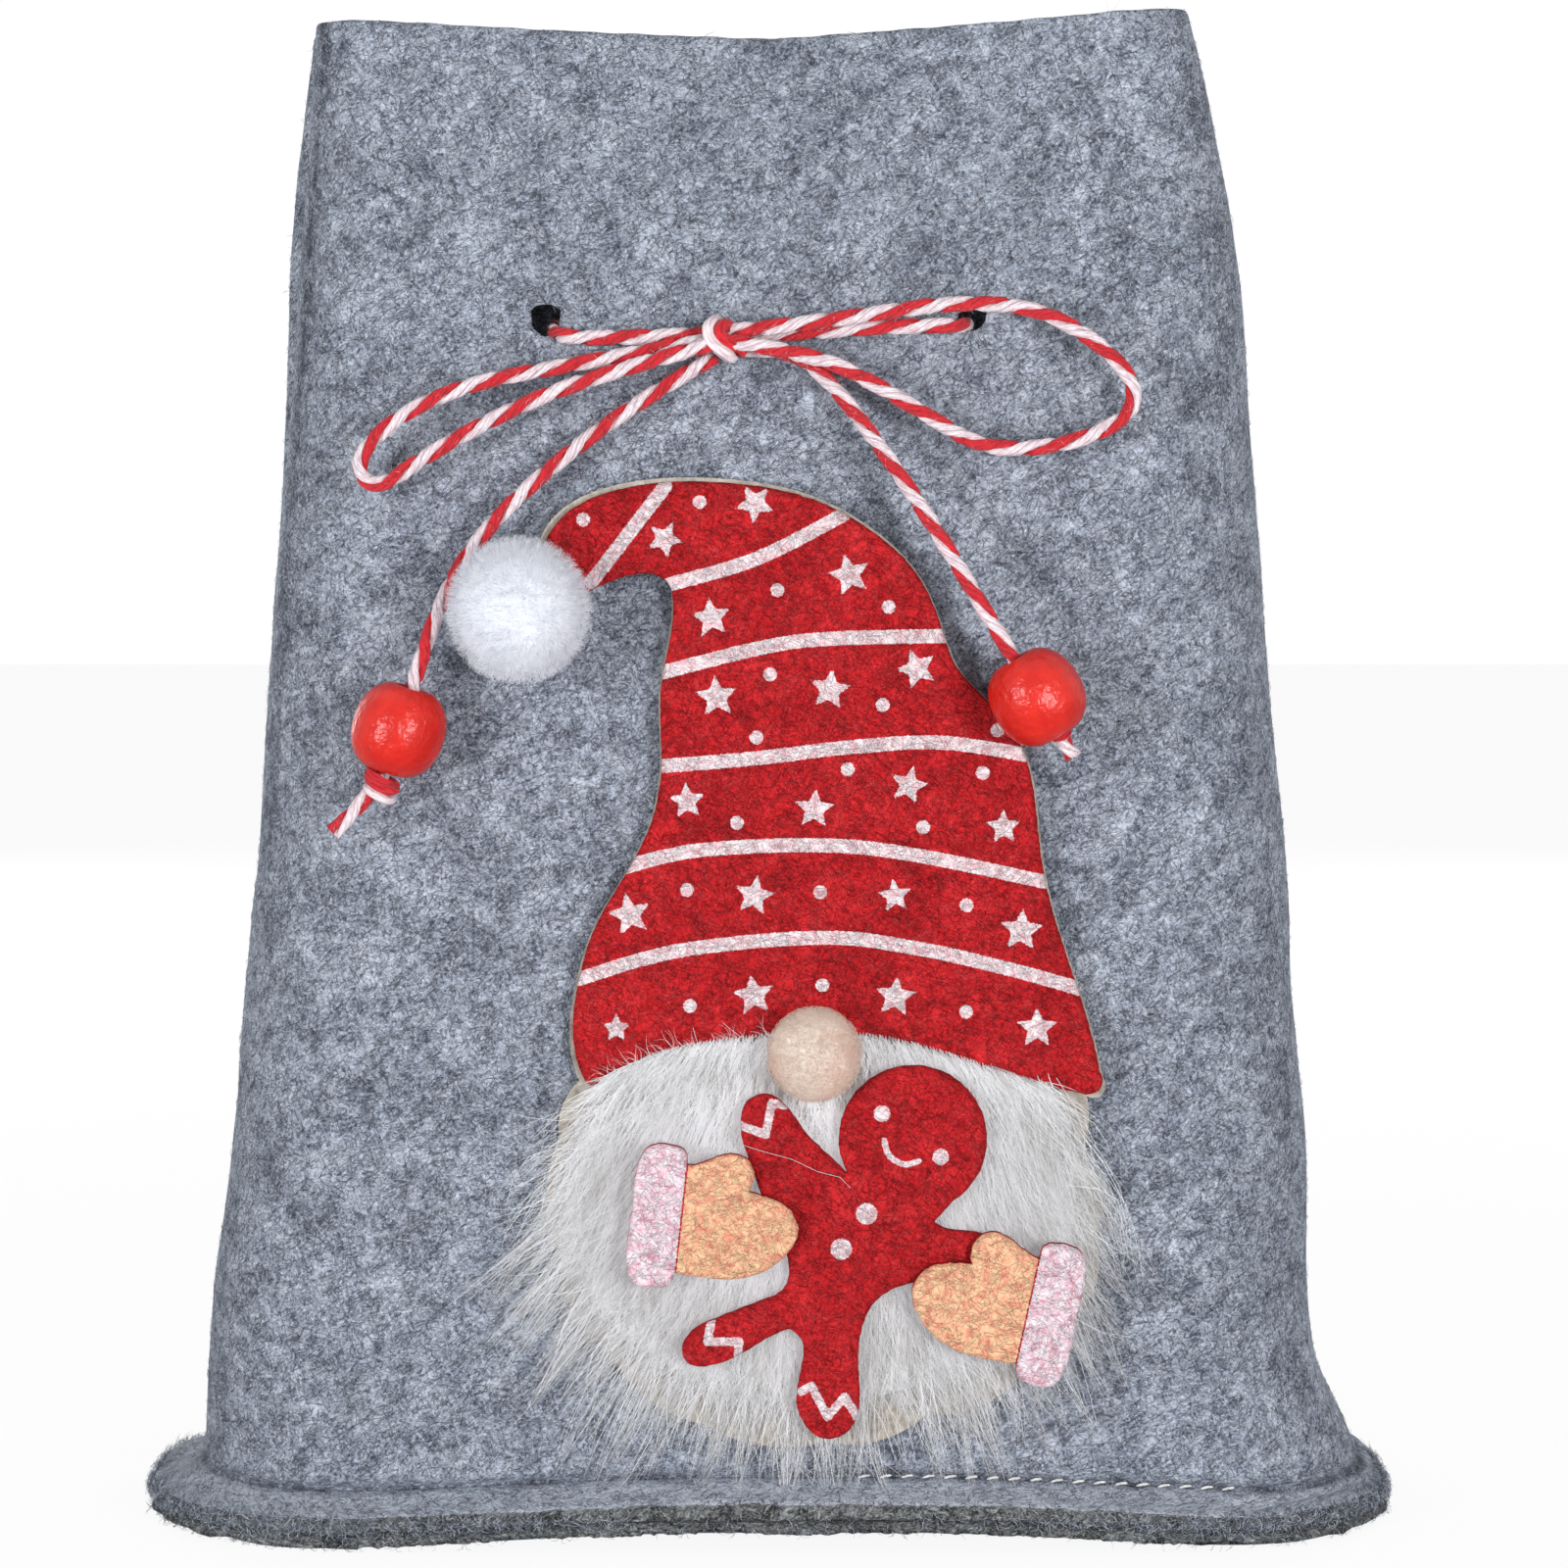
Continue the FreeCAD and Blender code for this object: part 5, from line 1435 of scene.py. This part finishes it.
ginger_felt = red_felt("gingerbread_felt")
ink_over(ginger_felt, "print", rgb(250, 238, 242), rgb(240, 196, 204), 0.72)
ginger_mesh, _ = sheet_piece(
    "gingerbread_felt", "gingerbread_man", 0.32, 0.10, 0.1, prints={"print": icing_print}
)
ginger = add_piece("gingerbread_felt", ginger_mesh, "red_felt", ginger_felt, node="gingerbread_man")

# one long hair of the beard lies across the raised arm and the neck
STRAY_HAIR = [(-3.8, 56.9), (-0.6, 55.9), (3.1, 54.9), (6.6, 53.2), (9.7, 52.4), (11.2, 50.9)]
stray_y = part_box("gingerbread_man")[0][1] / MM - 0.12
stray = np.array([[(x, stray_y, z) for x, z in STRAY_HAIR]])
stray_mesh = strands("stray_hair", stray, np.full(stray.shape[:2], 0.075), np.full(stray.shape[:2], 0.55))
add_piece("stray_hair", stray_mesh, "fur", fur)


# ---------------------------------------------------------------- gnome: mittens
# Two small mittens of the same felt. Their faces are printed all over, the hand in orange and the
# cuff in white, so that the red shows only at the cut edge, at the gap between the two, and through
# the ink.

# how far the cuff reaches from its middle, and the gap between cuff and hand; the print runs off the edge
CUFF, GAP = 3.3, 0.2
PRINT_EDGE = -0.1
# the cuff's middle about the nose, the side that the hand points to, and the turn in degrees
MITTENS = {
    "mitten_left": ((-21.5, -22.4), 1, -6.4),
    "mitten_right": ((32.5, -36.2), -1, -12.2),
}
mitten_felt = red_felt("mitten_felt")
ink_over(mitten_felt, "cuff", rgb(252, 240, 248), rgb(244, 184, 202), 0.82)
ink_over(mitten_felt, "palm", rgb(255, 209, 166), rgb(251, 163, 136), 0.90)
for node, (middle, side, degrees) in MITTENS.items():
    turn = math.radians(degrees)
    fingers = np.array((side * math.cos(turn), side * math.sin(turn)))
    edge = node_outline(node)

    def to_fingers(points):
        """How far each point lies towards the fingers from the cuff's middle."""
        return (about_nose(points) - middle) @ fingers

    def cuff_print(points):
        from_edge = distance(points, edge, closed=True) - PRINT_EDGE
        return np.minimum(from_edge, CUFF - GAP - to_fingers(points))

    def palm_print(points):
        from_edge = distance(points, edge, closed=True) - PRINT_EDGE
        return np.minimum(from_edge, to_fingers(points) - CUFF)

    prints = {"cuff": cuff_print, "palm": palm_print}
    mesh, _ = sheet_piece(f"{node}_felt", node, 0.36, 0.15, 0.1, prints=prints)
    mitten = add_piece(f"{node}_felt", mesh, "red_felt", mitten_felt, node=node)


# ---------------------------------------------------------------- tie: two-ply twine
# Cotton twine, 2 mm thick, laid up from a red and a white ply that go once round each other in about
# 10 mm. It runs through the four holes in the neck, and its ends are tied in a bow on the front.

TWINE = 2.0
LAY = 10.0
# a frayed end opens over its last stretch
FRAY = 1.2
PLY_SIDES = 24
# as shares of the twine's thickness: how far out a ply's middle lies, and half its depth and width
PLY_OUT, PLY_DEPTH, PLY_WIDTH = 0.26, 0.27, 0.40


def centreline(route, step=0.35):
    """Even points, in millimetres, along one smooth NURBS line that has the route as control points."""
    curve = bpy.data.curves.new("route", "CURVE")
    curve.dimensions = "3D"
    curve.resolution_u = 16
    spline = curve.splines.new("NURBS")
    spline.points.add(len(route) - 1)
    for point, place in zip(spline.points, route):
        point.co = (*place, 1.0)
    spline.order_u = 3
    spline.use_endpoint_u = True
    carrier = bpy.data.objects.new("route", curve)
    bpy.context.collection.objects.link(carrier)
    line = bpy.data.meshes.new_from_object(carrier)
    places = np.array([v.co for v in line.vertices])
    bpy.data.objects.remove(carrier)
    run = run_along(places)
    count = max(int(round(run[-1] / step)), 8)
    even = np.linspace(0, run[-1], count + 1)
    return np.stack([np.interp(even, run, places[:, axis]) for axis in range(3)], axis=1), even


def lay_frames(places):
    """Two directions across the line at each point, carried along it without twist."""
    ahead = unit(np.gradient(places, axis=0))
    across = np.cross(ahead[0], (0.0, 1.0, 0.0))
    across /= np.linalg.norm(across)
    first = []
    for way in ahead:
        across = across - way * np.dot(across, way)
        across /= np.linalg.norm(across)
        first.append(across)
    first = np.array(first)
    return first, np.cross(ahead, first)


def twist_plies(name, node, route, phase, lay=LAY, width=TWINE, frayed=False):
    """Both plies along a route in millimetres, for a CAD node; returns the piece and its centreline."""
    places, run = centreline(route)
    first, second = lay_frames(places)
    vertices, faces, plies, marks = [], [], [], []
    for ply in range(2):
        base = len(vertices)
        turn = -2 * math.pi * run / lay + phase + ply * math.pi
        out = first * np.cos(turn)[:, None] + second * np.sin(turn)[:, None]
        side = unit(np.cross(np.gradient(places, axis=0), out))
        for i, place in enumerate(places):
            to_end = run[-1] - run[i]
            spread = 1.0 + (0.35 * (FRAY - to_end) if frayed and to_end < FRAY else 0.0)
            for j in range(PLY_SIDES):
                angle = 2 * math.pi * j / PLY_SIDES
                yarn = 1 + 0.10 * math.cos(6 * angle + 0.5 * run[i])
                yarn += 0.03 * math.sin(3 * run[i] + 2 * angle)
                reach = width * (PLY_OUT * spread + PLY_DEPTH * yarn * math.cos(angle))
                aside = width * PLY_WIDTH * yarn * math.sin(angle)
                vertices.append(place + out[i] * reach + side[i] * aside)
                marks.append((j / PLY_SIDES, run[i]))
            if i:
                low, high = base + (i - 1) * PLY_SIDES, base + i * PLY_SIDES
                for j in range(PLY_SIDES):
                    k = (j + 1) % PLY_SIDES
                    faces.append((low + j, low + k, high + k, high + j))
                    plies.append(ply)
        for ring, order in ((base, -1), (base + (len(places) - 1) * PLY_SIDES, 1)):
            faces.append([ring + j for j in range(PLY_SIDES)][::order])
            plies.append(ply)
    mesh = smooth_mesh(name, [Vector(v) * MM for v in vertices], faces)
    piece = add_piece(name, mesh, "twine", red_ply, white_ply, node=node)
    mesh.polygons.foreach_set("material_index", plies)
    lay_map(mesh, "yarn", marks)
    bpy.context.view_layer.objects.active = piece
    bpy.ops.object.select_all(action="DESELECT")
    piece.select_set(True)
    bpy.ops.object.mode_set(mode="EDIT")
    bpy.ops.mesh.select_all(action="SELECT")
    bpy.ops.mesh.normals_make_consistent(inside=False)
    bpy.ops.object.mode_set(mode="OBJECT")
    return piece, places


def yarn_finish(name, colour, shade):
    """Cotton with fine yarns along the ply; shade is the darker colour, painted shade in the grooves
    between the yarns.
    """
    material, shader, link = new_finish(name, roughness=0.85, specular=0.25)
    mark = link.on_map("yarn")
    stretched = link.node("ShaderNodeMapping", None, {"Vector": mark, "Scale": (4.4, 0.22, 1.0)})
    yarns = stretched.noise(3.0, detail=4.0, roughness=0.7)
    patches = link.on_object().noise(450.0, detail=3.0)
    share = link.maths("MINIMUM", yarns.between(0.38, 0.56) * 0.75 + patches * 0.45, 1.0)
    feed(shader, "Base Color", share.mix(shade, colour))
    raise_relief(shader, yarns, 0.00035, 1.0)
    shader.inputs["Sheen Weight"].default_value = 0.15
    return material


red_ply = yarn_finish("red_ply", rgb(228, 44, 56), rgb(158, 18, 30))
white_ply = yarn_finish("white_ply", rgb(255, 246, 250), rgb(222, 178, 194))

TIE_ROUTES = {
    "tie_band": [
        (-8.2, -29.5, 168.4), (-17.0, -29.6, 168.0), (-25.6, -29.7, 167.8), (-29.6, -29.3, 168.3),
        (-30.4, -18.0, 169.6), (-31.0, 0.0, 170.1), (-31.2, 18.0, 170.6), (-31.0, 28.9, 170.4),
        (-25.2, 29.1, 170.3), (-14.0, 29.2, 170.1), (4.0, 29.3, 169.9), (16.0, 29.2, 170.2),
        (22.3, 29.1, 170.3), (28.0, 28.9, 170.4), (28.2, 18.0, 170.6), (28.0, 0.0, 170.1),
        (27.6, -18.0, 170.0), (27.2, -28.9, 169.6), (22.2, -29.4, 169.6), (12.0, -29.2, 169.2),
        (2.0, -29.2, 168.4), (-5.2, -29.2, 168.2),
    ],
    "bow_loop_left": [
        (-8.0, -31.6, 167.5), (-17.5, -31.9, 165.9), (-29.5, -32.6, 163.7), (-41.0, -33.6, 161.6),
        (-50.6, -34.2, 157.4), (-56.3, -34.6, 152.0), (-56.0, -34.7, 148.3), (-53.0, -34.7, 147.4),
        (-48.4, -34.6, 150.8), (-40.5, -34.4, 155.4), (-30.5, -34.3, 160.2), (-18.5, -34.2, 164.0),
        (-8.0, -33.8, 166.9),
    ],
    "bow_loop_right": [
        (-5.6, -31.6, 168.7), (4.5, -31.9, 169.7), (15.0, -32.2, 171.2), (26.0, -32.8, 172.7),
        (36.5, -33.6, 172.0), (44.5, -34.4, 167.6), (49.8, -34.8, 162.4), (50.0, -35.0, 157.8),
        (45.2, -35.2, 154.6), (37.5, -35.0, 152.6), (29.0, -34.8, 152.7), (21.3, -34.4, 157.4),
        (14.0, -33.9, 161.8), (6.0, -33.5, 165.6), (-5.4, -33.6, 167.3),
    ],
}
# what each stretch ends in, how it is held, and the phase of its plies
HOW_IT_LIES = {
    "tie_band": ("object", "taut", 3.3),
    "bow_loop_left": ("object", "loose", 1.2),
    "bow_loop_right": ("object", "loose", 4.1),
}


def declare_twine(places, with_pieces=()):
    path = [tuple(place * MM) for place in places[::3]] + [tuple(places[-1] * MM)]


def phase_towards(route, way, share=0.0):
    """The phase at which the red ply lies on a given side of the route, at a share of its length."""
    first, second = lay_frames(centreline(route)[0])
    at = int(share * (len(first) - 1))
    return math.atan2(float(np.dot(second[at], way)), float(np.dot(first[at], way)))


# the knot: one wrap of the twine, opened into its two plies side by side, which comes over the top and
# runs down to the right, and the end that comes out under it
knot_low, knot_high = [np.array(corner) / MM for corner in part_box("bow_knot")]
knot_middle = (knot_low + knot_high) / 2
WRAP = 3.0
wrap_depth = (knot_high - knot_low)[1] / 2 - 0.3 * WRAP
# steps from the knot's middle; the depth is given as a share of the wrap's own
WRAP_STEPS = [
    (1.2, 0.9, 0.6), (0.6, 0.4, 1.4), (-0.3, -0.5, 1.7), (-1.0, -1.0, 1.1), (-0.9, -1.05, 0.1),
    (-0.1, -1.05, -0.8), (0.9, -1.0, -1.5), (1.6, -0.5, -2.0), (1.4, 0.4, -1.9), (0.6, 0.9, -1.2),
]
END_STEPS = [(0.0, -0.4, 0.4), (1.4, -1.2, -0.5), (2.6, -1.5, -1.3), (3.7, -1.4, -2.0)]
wrap_route = [tuple(knot_middle + (x, y * wrap_depth, z)) for x, y, z in WRAP_STEPS]
wrap_phase = phase_towards(wrap_route, (0.8, 0.0, 0.5), 0.5)
knot_wrap, _ = twist_plies("bow_knot_wrap", "bow_knot", wrap_route, wrap_phase, 400.0, WRAP)
end_route = [tuple(knot_middle + step) for step in END_STEPS]
end_phase = phase_towards(end_route, (-0.5, 0.0, -0.8), 0.6)
knot_end, _ = twist_plies("bow_knot_end", "bow_knot", end_route, end_phase, 60.0, 1.7, frayed=True)

for node, route in TIE_ROUTES.items():
    far_end, lies, phase = HOW_IT_LIES[node]
    piece, places = twist_plies(f"{node}_twine", node, route, phase)
    declare_twine(places, [knot_wrap, knot_end] if node == "tie_band" else ())


# ---------------------------------------------------------------- tie: tails
# The two ends of the twine hang from the knot, each through a bead. Their last stretch is straight,
# because the bead slides on it.

RIGHT_BEAD = np.array((36.5, -41.0, 118.8))
RIGHT_WAY = np.array((-0.518, 0.0, 0.8554))
RIGHT_SLIDE = 16.0
right_path = np.array([RIGHT_BEAD, RIGHT_BEAD + RIGHT_WAY * RIGHT_SLIDE])


def on_left(away):
    """A point on the left bead's line, this far up it from where the bead rests."""
    return tuple(LEFT_BEAD + LEFT_WAY * away)


def on_right(away):
    return tuple(RIGHT_BEAD + RIGHT_WAY * away)


TAIL_ROUTES = {
    "tail_left": [
        (-7.4, -30.4, 165.4), (-12.4, -30.6, 162.4), (-20.0, -31.6, 157.7), (-30.0, -33.9, 150.2),
        (-38.6, -36.2, 142.0), on_left(20.0), on_left(1.0), on_left(-8.6), (-60.0, -37.6, 100.0),
    ],
    "tail_right": [
        (-5.4, -31.0, 166.2), (2.4, -30.9, 166.7), (8.2, -31.4, 162.1), (14.8, -36.4, 153.4),
        on_right(28.0), on_right(13.0), on_right(0.0), on_right(-9.6),
    ],
}


def stopper(side, centre, way, start, end, radius, turns, lay, width):
    """Turns of the twine round a tail, under its bead, with the red ply outside."""
    across = np.cross(way, (0.0, 1.0, 0.0))
    across /= np.linalg.norm(across)
    other = np.cross(way, across)
    route = []
    for share in np.linspace(0, 1, int(12 * turns)):
        angle = 2 * math.pi * turns * share
        out = across * math.cos(angle) + other * math.sin(angle)
        slant = 0.35 * math.cos(angle + 0.8)
        route.append(tuple(centre + way * (start + (end - start) * share + slant) + out * radius))
    phase = phase_towards(route, across)
    return twist_plies(f"stopper_{side}_turns", f"stopper_knot_{side}", route, phase, lay, width)[0]


# the turns start and end below the bead's middle; then their radius, number, lay and thickness
STOPPERS = {
    "tail_left": stopper("left", LEFT_BEAD, LEFT_WAY, -7.1, -9.2, 1.5, 1.8, 26.0, 2.35),
    "tail_right": stopper("right", RIGHT_BEAD, RIGHT_WAY, -5.9, -6.5, 0.8, 1.1, 9.0, 1.5),
}
for node, route in TAIL_ROUTES.items():
    phase = 0.6 if node == "tail_left" else 2.4
    piece, places = twist_plies(f"{node}_twine", node, route, phase, frayed=True)
    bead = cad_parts[node.replace("tail", "bead")]
    declare_twine(places, [STOPPERS[node], bead])

pink_fibres = fibre_finish("pink_fibres", [
    (0.0, rgb(206, 60, 70)), (0.4, rgb(240, 200, 206)), (1.0, rgb(250, 240, 242)),
])


def off_the_beads(centres, facing):
    """Faces of the twine where no bead slides over it; a bead rubs its own stretch smooth."""
    return np.minimum(distance(centres, left_path), distance(centres, right_path)) > BEAD_ROOM


FIBRES = {"tie_band": 900, "bow_loop_left": 600, "bow_loop_right": 700, "tail_left": 500, "tail_right": 450}
for name, count in FIBRES.items():
    shed(f"{name}_twine", f"{name}_fibres", "twine", pink_fibres, count, 0.9, 0.045, 0.25, off_the_beads)


# ---------------------------------------------------------------- beads
# Turned wooden beads in glossy red paint, which slide on the tails. The paint is thick and shows a
# faint orange peel.

gloss, gloss_shader, gloss_link = new_finish("bead_paint", roughness=0.30, specular=0.42)
gloss_place = gloss_link.on_object()
peel = gloss_place.noise(900.0, detail=2.0, roughness=0.5)
wear = gloss_place.noise(260.0, detail=3.0)
feed(gloss_shader, "Base Color", wear.between(0.35, 0.7).mix(rgb(205, 27, 15), rgb(223, 41, 27)))
raise_relief(gloss_shader, peel, 0.0004, 0.7)
for node in ("bead_left", "bead_right"):
    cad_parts[node].material_slots[0].material = gloss
